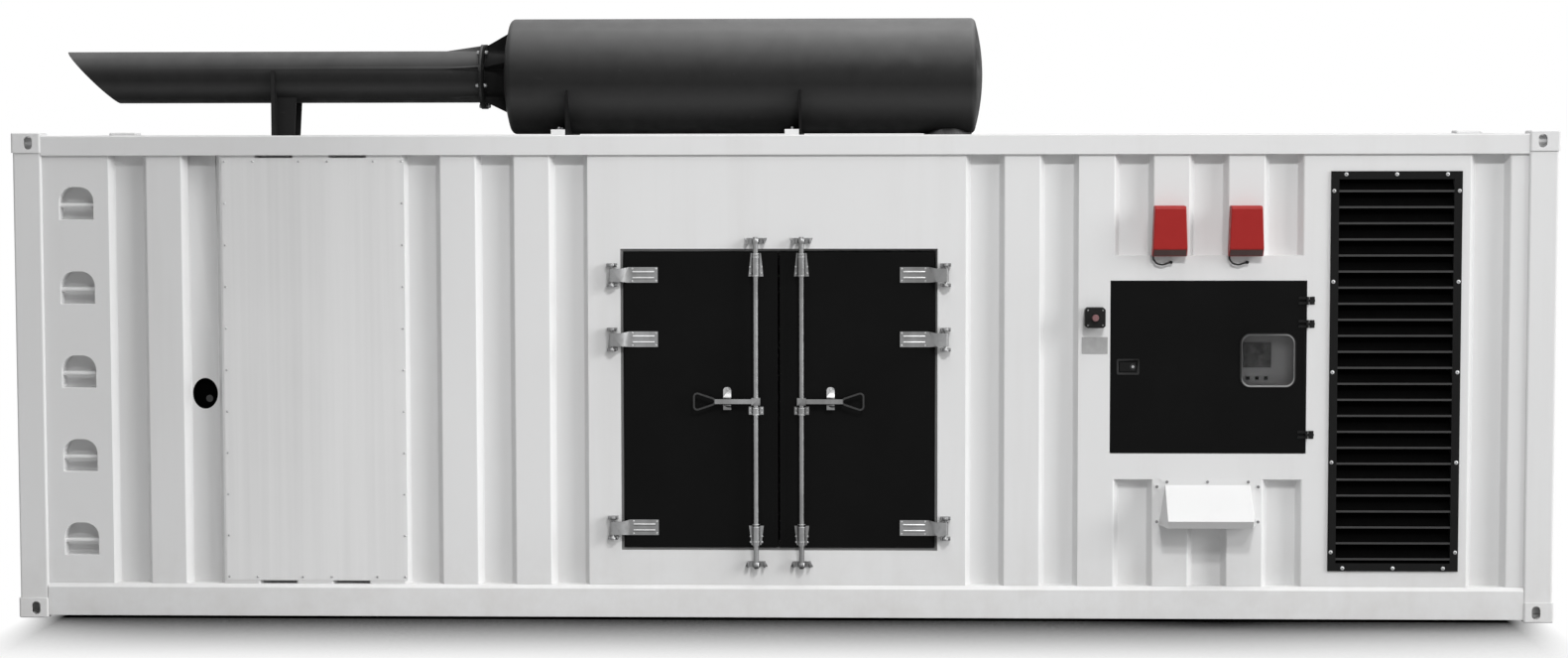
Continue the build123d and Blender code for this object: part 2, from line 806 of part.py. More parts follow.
def rod_keepers():
    """Cradles over and under the leaves, open to the front, that the rods' cams seat in."""
    with BuildPart() as keepers:
        for side, low in [(side, low) for side in (-1, 1) for low in (rod_z, rod_top - keeper_h)]:
            with BuildSketch(Plane.XY.offset(low)):
                with Locations((door_x + side * rod_u, land_y - keeper_t / 2)):
                    Rectangle(keeper_w, keeper_t)
                for ear in (-1, 1):
                    ear_x = door_x + side * rod_u + ear * (keeper_mouth + keeper_ear_t) / 2
                    with Locations((ear_x, land_y - keeper_reach / 2)):
                        Rectangle(keeper_ear_t, keeper_reach)
            extrude(amount=keeper_h)
    return keepers


for name, side in (("left", -1), ("right", 1)):
    save(door_leaf(side), name + "_door_leaf")
    with BuildPart() as leaf_fittings:
        add(hinge_straps(side).part)
        add(rod_guides_and_catch(side).part)
    save(leaf_fittings, name + "_door_fittings")
    save(lock_rod(side), name + "_lock_rod")
    save(lock_handle(side), name + "_lock_handle")
save(hinge_brackets(), "hinge_brackets")
save(rod_keepers(), "rod_keepers")

# Corrugated wall between the doors and the control bay, and above and below the bay
front_wall_middle = corrugated_wall(surround_right, bay_left, bottom_rail_top, wall_top,
                                    recesses_left_of(surround_right, bay_left))
save(front_wall_middle, "front_wall_middle")
land_w = recess_pitch - recess_w
bay_recesses = recesses_right_of(bay_left + land_w, bay_right)
with BuildPart() as front_wall_at_bay:
    add(corrugated_wall(bay_left, bay_right, bay_top, wall_top, bay_recesses).part)
    add(corrugated_wall(bay_left, bay_right, bottom_rail_top, bay_z, bay_recesses).part)
save(front_wall_at_bay, "front_wall_at_bay")

# Flat control bay round its cabinet
with BuildPart() as bay_side_panel:
    block((bay_left, control_x - control_gap), (land_y, inner_y), (bay_z, bay_top))
save(bay_side_panel, "bay_side_panel")

with BuildPart() as bay_head_and_sill:
    block((control_x - control_gap, bay_right), (land_y, inner_y),
          (control_top + control_gap, bay_top))
    block((control_x - control_gap, bay_right), (land_y, inner_y),
          (bay_z, control_z - control_gap))
save(bay_head_and_sill, "bay_head_and_sill")

# The cabinet is a box behind the wall, open to the front, with its panel set back inside
cabinet_x = (control_x - control_gap, control_right + control_gap)
cabinet_z = (control_z - control_gap, control_top + control_gap)
with BuildPart() as control_cabinet:
    block((cabinet_x[0] - cabinet_t, cabinet_x[1] + cabinet_t), (inner_y, inner_y + cabinet_depth),
          (cabinet_z[0] - cabinet_t, cabinet_z[1] + cabinet_t))
    block(cabinet_x, (inner_y, inner_y + cabinet_depth - cabinet_t), cabinet_z,
          mode=Mode.SUBTRACT)
save(control_cabinet, "control_cabinet")

panel_y = land_y + control_t + panel_back
with BuildPart() as control_panel:
    block(cabinet_x, (panel_y, panel_y + panel_t), cabinet_z)
    with Locations((window_x - display_in, panel_y, window_z + display_up)):
        Box(display_w, 2 * display_out, display_h)
    for key in (-1, 0, 1):
        with Locations((window_x - display_in + key * key_pitch, panel_y, window_z - key_drop)):
            Box(key_size, 2 * display_out, key_size)
save(control_panel, "control_panel")

# Control door with its window, gasket, latch and hinges
with BuildPart() as control_door:
    with BuildSketch(Plane.XZ.offset(-land_y)):
        with Locations(((control_x + control_right) / 2, (control_z + control_top) / 2)):
            Rectangle(control_w, control_h)
        with Locations((window_x, window_z)):
            RectangleRounded(window_w, window_h, window_r, mode=Mode.SUBTRACT)
        with Locations((latch_x, latch_z)):
            Rectangle(latch_w - 2 * latch_rim, latch_h - 2 * latch_rim, mode=Mode.SUBTRACT)
    extrude(amount=-control_t)
save(control_door, "control_door")

with BuildPart() as window_pane:
    with BuildSketch(Plane.XZ.offset(-land_y - control_t / 2)):
        with Locations((window_x, window_z)):
            RectangleRounded(window_w, window_h, window_r)
    extrude(amount=-pane_t)
save(window_pane, "window_pane")

with BuildPart() as window_gasket:
    with BuildSketch(Plane.XZ.offset(-land_y)):
        with Locations((window_x, window_z)):
            RectangleRounded(window_w + gasket_w, window_h + gasket_w, window_r + gasket_w / 2)
            RectangleRounded(window_w - gasket_w, window_h - gasket_w, window_r - gasket_w / 2,
                             mode=Mode.SUBTRACT)
    extrude(amount=gasket_out)
save(window_gasket, "window_gasket")

control_pin_x = control_right + control_gap + control_pin_out
control_pin_y = land_y - control_pin_forward
control_hinge_levels = [control_z + rise for rise in control_hinge_ups]
knuckle = control_hinge_h / 3
knuckle_back = control_gap + control_pin_out
with BuildPart() as control_hinge_plates:
    for level in control_hinge_levels:
        block((control_pin_x, control_pin_x + control_hinge_w), (land_y - control_hinge_t, land_y),
              (level - knuckle / 2 + knuckle_gap, level + knuckle / 2 - knuckle_gap))
        with BuildSketch(Plane.XY.offset(level - knuckle / 2 + knuckle_gap)):
            with Locations((control_pin_x, control_pin_y)):
                Circle(control_barrel_d / 2)
            with Locations((control_pin_x + control_barrel_d / 4, (control_pin_y + land_y) / 2)):
                Rectangle(control_barrel_d / 2, control_pin_forward)
        extrude(amount=knuckle - 2 * knuckle_gap)
        with BuildSketch(Plane.XY.offset(level - control_hinge_h / 2)):
            with Locations((control_pin_x, control_pin_y)):
                Circle(control_pin_d / 2)
        extrude(amount=control_hinge_h)
save(control_hinge_plates, "control_hinge_plates")

with BuildPart() as control_hinge_leaves:
    for level in control_hinge_levels:
        for low in (level - control_hinge_h / 2, level + knuckle / 2 + knuckle_gap):
            with BuildSketch(Plane.XY.offset(low)):
                with Locations((control_pin_x - control_hinge_w / 2 - knuckle_back,
                                land_y - control_hinge_t / 2)):
                    Rectangle(control_hinge_w, control_hinge_t)
                with Locations((control_pin_x - control_barrel_d / 4 - knuckle_back,
                                (control_pin_y + land_y) / 2)):
                    Rectangle(control_barrel_d / 2, control_pin_forward)
                with Locations((control_pin_x, control_pin_y)):
                    Circle(control_barrel_d / 2)
                    Circle(control_pin_d / 2 + pin_play, mode=Mode.SUBTRACT)
            extrude(amount=knuckle - knuckle_gap)
save(control_hinge_leaves, "control_hinge_leaves")

# Flush latch: a shallow dish in the door and the paddle that lifts out of it
dish_w = latch_w - 2 * latch_rim
dish_h = latch_h - 2 * latch_rim
paddle_w = dish_w - 2 * dish_wall - 2 * paddle_gap
paddle_h = dish_h - 2 * dish_wall - 2 * paddle_gap
with BuildPart() as latch_dish:
    with BuildSketch(Plane.XZ.offset(-land_y)):
        with Locations((latch_x, latch_z)):
            RectangleRounded(latch_w, latch_h, latch_rim_r)
            Rectangle(dish_w - 2 * dish_wall, dish_h - 2 * dish_wall, mode=Mode.SUBTRACT)
    extrude(amount=latch_rim_t)
    with BuildSketch(Plane.XZ.offset(-land_y)):
        with Locations((latch_x, latch_z)):
            Rectangle(dish_w, dish_h)
            Rectangle(dish_w - 2 * dish_wall, dish_h - 2 * dish_wall, mode=Mode.SUBTRACT)
    extrude(amount=-control_t)
    with BuildSketch(Plane.XZ.offset(-land_y - control_t)):
        with Locations((latch_x, latch_z)):
            Rectangle(dish_w, dish_h)
    extrude(amount=dish_wall)
save(latch_dish, "latch_dish")

paddle_top = latch_z + paddle_h / 2
paddle_y = land_y + paddle_t / 2
with BuildPart() as latch_paddle:
    with Locations((latch_x, paddle_y, latch_z)):
        Box(paddle_w, paddle_t, paddle_h)
    with BuildSketch(Plane.YZ.offset(latch_x - paddle_w / 2 - paddle_gap + fit)):
        with Locations((paddle_y, paddle_top - paddle_pin_d / 2)):
            Circle(paddle_pin_d / 2)
    extrude(amount=paddle_w + 2 * paddle_gap - 2 * fit)
save(latch_paddle, "latch_paddle")

# Two tapered alarm sounders, each with a short lead to a gland in the bay panel
with BuildPart() as alarm_sounders:
    for siren_x in siren_xs:
        with BuildSketch(Plane.YZ.offset(siren_x - siren_w / 2)):
            with BuildLine():
                Polyline((land_y, siren_z + siren_back_h), (land_y, siren_z + siren_h),
                         (land_y - siren_depth + siren_brow, siren_z + siren_h),
                         (land_y - siren_depth, siren_z + siren_h - siren_brow_h),
                         (land_y - siren_depth, siren_z + siren_lip_h),
                         (land_y - siren_depth / 2, siren_z),
                         (land_y - siren_back, siren_z), close=True)
            make_face()
        extrude(amount=siren_w)
    with BuildSketch(Plane.XZ.offset(-land_y + siren_depth)):
        for siren_x in siren_xs:
            with BuildLine():
                Polyline((siren_x - siren_w / 2, siren_z), (siren_x + siren_w / 2, siren_z),
                         (siren_x + siren_top_w / 2, siren_z + siren_h),
                         (siren_x - siren_top_w / 2, siren_z + siren_h), close=True)
            make_face()
    extrude(amount=-siren_depth, mode=Mode.INTERSECT)
save(alarm_sounders, "alarm_sounders")

with BuildPart() as sounder_leads:
    for siren_x in siren_xs:
        lead_y = land_y - gland_l + lead_d / 2
        start_x = siren_x - siren_w / 2 + lead_in
        with BuildLine(Plane.XZ.offset(-lead_y)) as lead_path:
            FilletPolyline((start_x, siren_z),
                           *[(start_x + along, siren_z - down) for along, down in lead_drops],
                           (start_x + gland_in, siren_z - gland_drop), radius=lead_bends)
        with BuildSketch(Plane.XY.offset(siren_z)):
            with Locations((start_x, lead_y)):
                Circle(lead_d / 2)
        sweep(path=lead_path.line)
save(sounder_leads, "sounder_leads")

with BuildPart() as lead_glands:
    with BuildSketch(Plane.XZ.offset(-land_y)):
        for siren_x in siren_xs:
            with Locations((siren_x - siren_w / 2 + lead_in + gland_in + gland_d / 2,
                            siren_z - gland_drop + gland_sit)):
                Circle(gland_d / 2)
    extrude(amount=gland_l)
save(lead_glands, "lead_glands")

# Emergency stop: box, sliding button, and the blank tag below it
estop_x = bay_left + estop_in
estop_z = bay_z + estop_up
with BuildPart() as stop_box:
    with BuildSketch(Plane.XZ.offset(-land_y)):
        with Locations((estop_x, estop_z)):
            Rectangle(estop_w, estop_w)
            Circle(estop_stem_d / 2 + fit, mode=Mode.SUBTRACT)
    extrude(amount=estop_depth)
    chamfer(stop_box.edges().filter_by(Axis.Y).group_by(SortBy.LENGTH)[-1], estop_corner)
save(stop_box, "stop_box")

button_back = land_y - estop_depth - estop_head_gap - estop_travel
with BuildPart() as stop_button:
    with BuildSketch(Plane.XZ.offset(-button_back)):
        with Locations((estop_x, estop_z)):
            Circle(estop_button_d / 2)
    extrude(amount=estop_button_h, taper=estop_button_taper)
    with BuildSketch(Plane.XZ.offset(-button_back)):
        with Locations((estop_x, estop_z)):
            Circle(estop_stem_d / 2)
    extrude(amount=-estop_stem_l)
save(stop_button, "stop_button")

with BuildPart() as blank_tag:
    with Locations((bay_left + tag_in, land_y - tag_t / 2, bay_z + tag_up)):
        Box(tag_w, tag_t, tag_h)
save(blank_tag, "blank_tag")

# Sheet hood over a vent below the bay, open underneath
with BuildPart() as vent_hood:
    with BuildSketch(Plane.YZ.offset(hood_x - hood_w / 2)):
        with BuildLine():
            Polyline((land_y, hood_z), (land_y, hood_top), (land_y - hood_t, hood_top),
                     (land_y - hood_t, hood_top - hood_flange),
                     (land_y - hood_reach, hood_lip_z), (land_y - hood_reach, hood_z), close=True)
        make_face()
    extrude(amount=hood_w)
    with BuildSketch(Plane.YZ.offset(hood_x - hood_w / 2 + hood_t)):
        with BuildLine():
            Polyline((land_y, hood_z), (land_y, hood_top - hood_flange - hood_t),
                     (land_y - hood_t, hood_top - hood_flange - hood_t),
                     (land_y - hood_reach + hood_t, hood_lip_z - hood_t),
                     (land_y - hood_reach + hood_t, hood_z), close=True)
        make_face()
    extrude(amount=hood_w - 2 * hood_t, mode=Mode.SUBTRACT)
save(vent_hood, "vent_hood")

# Flat panel round the air inlet louvre, from the bay to the last corrugation
with BuildPart() as louvre_panel:
    with BuildSketch(Plane.XZ.offset(-land_y)):
        with BuildLine():
            Polyline((bay_right, bottom_rail_top), (hole_right, bottom_rail_top),
                     (hole_right, hole_z), (hole_left, hole_z), (hole_left, hole_top),
                     (hole_right, hole_top), (hole_right, wall_top), (bay_right, wall_top),
                     close=True)
        make_face()
    extrude(amount=-wall_t)
save(louvre_panel, "louvre_panel")

save(corrugated_wall(hole_right, frame_x, bottom_rail_top, wall_top, [right_recess_x]),
     "front_wall_right")


def louvre(x_mid, z_from, w, h, count):
    """A framed louvre at the front: a flange on the wall and slanted blades inside."""
    blade_pitch = (h - 2 * louvre_border) / count
    blade_drop = blade_pitch - blade_nose + blade_overlap
    front_y = land_y - blade_proud
    back_y = land_y + louvre_depth - blade_back
    with BuildPart() as grille:
        with BuildSketch(Plane.XZ.offset(-land_y)):
            with Locations((x_mid, z_from + h / 2)):
                Rectangle(w, h)
                Rectangle(w - 2 * louvre_border, h - 2 * louvre_border, mode=Mode.SUBTRACT)
        extrude(amount=louvre_out)
        with BuildSketch(Plane.XZ.offset(-land_y)):
            with Locations((x_mid, z_from + h / 2)):
                Rectangle(w - 2 * louvre_lap - 2 * fit, h - 2 * louvre_lap - 2 * fit)
                Rectangle(w - 2 * louvre_border, h - 2 * louvre_border, mode=Mode.SUBTRACT)
        extrude(amount=-louvre_depth)
        with BuildSketch(Plane.YZ.offset(x_mid - w / 2 + louvre_border)):
            for k in range(count):
                low = z_from + louvre_border + (k + blade_start_share) * blade_pitch
                high = low + blade_nose
                with BuildLine():
                    Polyline((front_y, low), (front_y, high), (back_y, high + blade_drop),
                             (back_y, high + blade_drop - 1.5 * blade_t),
                             (front_y + blade_t, high - 1.5 * blade_t),
                             (front_y + blade_t, low), close=True)
                make_face()
        extrude(amount=w - 2 * louvre_border)
    return grille


end_to_side = half_l - half_w
with BuildPart() as air_louvres:
    add(louvre(louvre_x, louvre_z, louvre_w, louvre_h, blade_count).part)
    mirror(louvre(louvre_x, louvre_z, louvre_w, louvre_h, blade_count).part, about=Plane.XZ)
    with Locations((-end_to_side, 0, 0)):
        add(louvre(0, outlet_z, outlet_w, outlet_h, outlet_blades).part, rotation=(0, 0, -90))
save(air_louvres, "air_louvres")

# Rear wall: the same corrugation, with a louvre opening opposite the front one
rear_recesses = recesses_right_of(-frame_x + recess_pitch - recess_w, hole_left)
with BuildPart() as rear_wall:
    mirror(corrugated_wall(-frame_x, frame_x, bottom_rail_top, wall_top,
                           rear_recesses + [right_recess_x]).part, about=Plane.XZ)
    block((hole_left, hole_right), (-inner_y, -land_y), (hole_z, hole_top), mode=Mode.SUBTRACT)
save(rear_wall, "rear_wall")

# End walls, turned from a front section, the left one with the air outlet
end_recesses = recesses_right_of(-frame_y + (recess_pitch - recess_w) / 2, frame_y)
outlet_half = outlet_w / 2 - louvre_lap
with BuildPart() as end_walls:
    with Locations((-end_to_side, 0, 0)):
        add(corrugated_wall(-frame_y, frame_y, bottom_rail_top, wall_top,
                            end_recesses).part, rotation=(0, 0, -90))
    block((-half_l, -half_l + 2 * wall_t), (-outlet_half, outlet_half),
          (outlet_z + louvre_lap, outlet_z + outlet_h - louvre_lap), mode=Mode.SUBTRACT)
    with Locations((end_to_side, 0, 0)):
        add(corrugated_wall(-frame_y, frame_y, bottom_rail_top, wall_top,
                            end_recesses).part, rotation=(0, 0, 90))
save(end_walls, "end_walls")


def silencer_body(grown):
    """The round silencer with dished ends, grown all over where a seat is cut for it."""
    r = silencer_d / 2 + grown
    left = silencer_left - grown
    right = silencer_right + grown
    with BuildPart() as body:
        with BuildSketch(Plane.XZ) as half_section:
            with BuildLine():
                Line((left, exhaust_z), (right, exhaust_z))
                ThreePointArc((right, exhaust_z), dished_point(right, r / 2, r, -1),
                              (right - silencer_dish, exhaust_z + r))
                Line((right - silencer_dish, exhaust_z + r), (left + silencer_dish, exhaust_z + r))
                ThreePointArc((left + silencer_dish, exhaust_z + r),
                              dished_point(left, r / 2, r, 1), (left, exhaust_z))
            make_face()
            fillet(half_section.vertices().group_by(Axis.Y)[-1], silencer_knuckle)
        revolve(axis=Axis((0, 0, exhaust_z), (1, 0, 0)))
    return body


def dished_point(end_x, at_r, r, inward):
    """A point of a dished end's arc, at a given distance from the axis."""
    dish_r = (r ** 2 + silencer_dish ** 2) / (2 * silencer_dish)
    return (end_x + inward * (dish_r - sqrt(dish_r ** 2 - at_r ** 2)), exhaust_z + at_r)


# Roof exhaust: silencer on two saddles, and the inlet stub through the roof
silencer = silencer_body(0)
save(silencer, "silencer")

with BuildPart() as silencer_saddles:
    for saddle_x in saddle_xs:
        with BuildSketch(Plane.YZ.offset(saddle_x - saddle_t / 2)) as saddle:
            with Locations((0, roof_top + saddle_h / 2)):
                Rectangle(saddle_w, saddle_h)
            chamfer(saddle.vertices().group_by(Axis.Y)[-1], saddle_corner, 2 * saddle_corner)
        extrude(amount=saddle_t)
    add(silencer_body(fit).part, mode=Mode.SUBTRACT)
save(silencer_saddles, "silencer_saddles")

with BuildPart() as roof_pads:
    for saddle_x in saddle_xs:
        pad_x = (saddle_x - saddle_t / 2 - pad_w, saddle_x - saddle_t / 2)
        block(pad_x, (saddle_w / 2 - pad_l, saddle_w / 2), (roof_top, roof_top + pad_h))
        block(pad_x, (-saddle_w / 2, -saddle_w / 2 + pad_l), (roof_top, roof_top + pad_h))
    add(silencer_body(fit).part, mode=Mode.SUBTRACT)
save(roof_pads, "roof_pads")

with BuildPart() as inlet_stub:
    with BuildSketch(Plane.XY.offset(roof_top)):
        with Locations((stub_x, 0)):
            Circle(stub_d / 2)
    extrude(amount=silencer_d / 4)
    with BuildSketch(Plane.XY.offset(roof_top)):
        with Locations((stub_x, 0)):
            Circle(collar_d / 2)
    extrude(amount=collar_t)
    add(silencer_body(fit).part, mode=Mode.SUBTRACT)
save(inlet_stub, "inlet_stub")


def ring_of_gussets(x_from, x_to, r_from, r_to):
    """Triangular plates round the pipe, tapering from one radius to the other."""
    base = pipe_d / 2 - pipe_t / 2
    with BuildPart() as gussets:
        for k in range(fin_count):
            turn = radians(90 + 360 * k / fin_count)
            plane = Plane(origin=(0, 0, exhaust_z), x_dir=(1, 0, 0),
                          z_dir=(0, -sin(turn), cos(turn)))
            with BuildSketch(plane):
                with BuildLine():
                    Polyline((x_from, base), (x_from, r_from), (x_to, r_to), (x_to, base),
                             close=True)
                make_face()
            extrude(amount=fin_t / 2, both=True)
    return gussets


with BuildPart() as outlet_neck:
    with BuildSketch(Plane.YZ.offset(flange_x)):
        with Locations((0, exhaust_z)):
            Circle(pipe_d / 2)
    extrude(amount=neck_l + silencer_dish)
    with BuildSketch(Plane.YZ.offset(flange_x)):
        with Locations((0, exhaust_z)):
            Circle(flange_d / 2)
    extrude(amount=flange_t)
    add(ring_of_gussets(flange_x + flange_t, silencer_left + silencer_dish,
                        flange_d / 2 - fin_in, flange_d / 2 + fin_rise).part)
    with BuildSketch(Plane.YZ.offset(flange_x)):
        with Locations((0, exhaust_z)):
            Circle(pipe_d / 2 - pipe_t)
    extrude(amount=neck_l + silencer_dish, mode=Mode.SUBTRACT)
    add(silencer_body(0).part, mode=Mode.SUBTRACT)
save(outlet_neck, "outlet_neck")

with BuildPart() as tail_pipe:
    with BuildSketch(Plane.YZ.offset(pipe_end_x)):
        with Locations((0, exhaust_z)):
            Circle(pipe_d / 2)
    extrude(amount=flange_x - pipe_end_x)
    with BuildSketch(Plane.YZ.offset(flange_x - flange_t)):
        with Locations((0, exhaust_z)):
            Circle(flange_d / 2)
    extrude(amount=flange_t)
    add(ring_of_gussets(flange_x - flange_t - fin_l, flange_x - flange_t,
                        pipe_d / 2 - pipe_t / 4, flange_d / 2 - fin_in).part)
    with BuildSketch(Plane.YZ.offset(pipe_end_x)):
        with Locations((0, exhaust_z)):
            Circle(pipe_d / 2 - pipe_t)
    extrude(amount=flange_x - pipe_end_x, mode=Mode.SUBTRACT)
    with BuildSketch(Plane.XZ.offset(-pipe_d)):
        with BuildLine():
            Polyline((pipe_end_x - pipe_t, exhaust_z + pipe_d / 2 + pipe_t),
                     (pipe_end_x - pipe_t, exhaust_z - pipe_d / 2 - pipe_t),
                     (pipe_end_x + pipe_d + pipe_t, exhaust_z - pipe_d / 2 - pipe_t), close=True)
        make_face()
    extrude(amount=2 * pipe_d, mode=Mode.SUBTRACT)
save(tail_pipe, "tail_pipe")

with BuildPart() as tail_pipe_stand:
    stand_half = pipe_d / 2 + stand_side
    with BuildSketch(Plane.YZ.offset(stand_x - stand_t / 2)):
        with Locations((0, (roof_top + stand_top) / 2)):
            Rectangle(2 * stand_half, stand_top - roof_top)
        with Locations((0, exhaust_z)):
            Circle(pipe_d / 2 + fit, mode=Mode.SUBTRACT)
        with Locations((0, exhaust_z + pipe_d / 2)):
            Rectangle(pipe_d + 2 * fit, pipe_d, mode=Mode.SUBTRACT)
    extrude(amount=stand_t)
    for cheek_y in (-stand_cheek_y - stand_cheek_t, stand_cheek_y):
        with BuildSketch(Plane.XZ.offset(-cheek_y - stand_cheek_t)):
            with BuildLine():
                Polyline((stand_x, roof_top), (stand_x + stand_foot, roof_top),
                         (stand_x + stand_head, exhaust_z), (stand_x, exhaust_z), close=True)
            make_face()
        extrude(amount=stand_cheek_t)
    with BuildSketch(Plane.YZ.offset(stand_x - 2 * stand_t)):
        with Locations((0, exhaust_z)):
            Circle(pipe_d / 2 + fit)
    extrude(amount=pipe_d, mode=Mode.SUBTRACT)
save(tail_pipe_stand, "tail_pipe_stand")
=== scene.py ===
import json
import math

import bmesh
import bpy
from mathutils import Matrix, Vector


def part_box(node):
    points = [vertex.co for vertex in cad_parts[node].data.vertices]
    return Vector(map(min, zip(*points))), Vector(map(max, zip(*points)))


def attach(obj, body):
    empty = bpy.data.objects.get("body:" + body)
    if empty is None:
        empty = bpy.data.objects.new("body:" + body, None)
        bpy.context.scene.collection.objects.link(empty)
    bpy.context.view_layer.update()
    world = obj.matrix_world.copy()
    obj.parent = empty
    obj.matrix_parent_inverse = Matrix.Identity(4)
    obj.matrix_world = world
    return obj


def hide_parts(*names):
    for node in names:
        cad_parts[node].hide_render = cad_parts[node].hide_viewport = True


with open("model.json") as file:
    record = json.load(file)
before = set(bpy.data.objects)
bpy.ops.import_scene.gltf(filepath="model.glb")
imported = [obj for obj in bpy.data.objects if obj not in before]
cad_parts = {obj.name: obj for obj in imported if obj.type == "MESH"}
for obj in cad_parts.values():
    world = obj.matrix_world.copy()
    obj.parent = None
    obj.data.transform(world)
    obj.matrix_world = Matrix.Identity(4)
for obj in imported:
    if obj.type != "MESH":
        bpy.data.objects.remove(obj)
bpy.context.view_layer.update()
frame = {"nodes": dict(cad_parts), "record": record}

# Enclosed diesel generator in a 30 ft container. Places are in metres, in the frame of the CAD.
# The front with the doors faces -Y, +X runs to the louvre end, and Z is up from the ground.

nodes = frame["nodes"]
scene = bpy.context.scene

FRONT = Vector((0, -1, 0))
REAR = Vector((0, 1, 0))
LEFT = Vector((-1, 0, 0))
RIGHT = Vector((1, 0, 0))
UP = Vector((0, 0, 1))

# The front wall's outer face, the line where the two leaves meet, and the distances from that
# line to each leaf's rod, its catch, the start of its handle's dipped grip and its straps' ribs
WALL_FACE = -1.194
DOOR_X = -0.005
ROD_U = 0.135
CATCH_U, CATCH_HALF = 0.3065, 0.0235
GRIP_U = 0.368
RIB_U, RIB_FACE = (0.725, 0.87), -1.2025
LEAVES = ((-1, "left_door"), (1, "right_door"))
HINGE_LEVELS = (2.053, 1.672, 0.552)

# Control bay: its hinges, the panel behind its door, the door's window, the hood and the tag
CONTROL_HINGE_LEVELS = (1.901, 1.764, 1.110)
CONTROL_HINGE_X = 3.131
PANEL_FACE = -1.0945
DISPLAY_X = (2.75, 2.95)
DISPLAY_Z = (1.46, 1.66)
WINDOW_X, WINDOW_Z = 2.876, 1.548
HOOD_X = 2.527
HOOD_EAR_LEVELS = (0.592, 0.800)
TAG_LEVELS = (1.59, 1.68)
SOUNDER_FOOT = 2.21

# Faces nearer the room than this are the walls' and the ends' inner ones
INNER_Y, INNER_X = 1.08, 4.42

# Louvres: the front one's middle, the side louvres' faces and the left end's face
LOUVRE_X = 3.617
LOUVRE_FACE = 1.204
OUTLET_FACE = -4.5475

# Oval port in the left wall, as a middle and half sizes, and its round plug
PORT_X, PORT_Z = -3.438, 1.342
PORT_HALF_X, PORT_HALF_Z = 0.0755, 0.0925
PLUG_X, PLUG_Z = -3.413, 1.312

# Exhaust: its axis, its flange joint, the silencer's round seams and its saddles
EXHAUST_Z = 3.243
FLANGE_X = -1.895
FLANGE_T = 0.018
BOLT_CIRCLE = 0.183
GUSSETS = 5
SEAM_XS = (-0.514, 0.733)
SADDLE_XS = (-1.343, 0.100)

BODY_OF = {name: body for body, names in frame["record"]["behaviour"]["bodies"].items()
           for name in names}


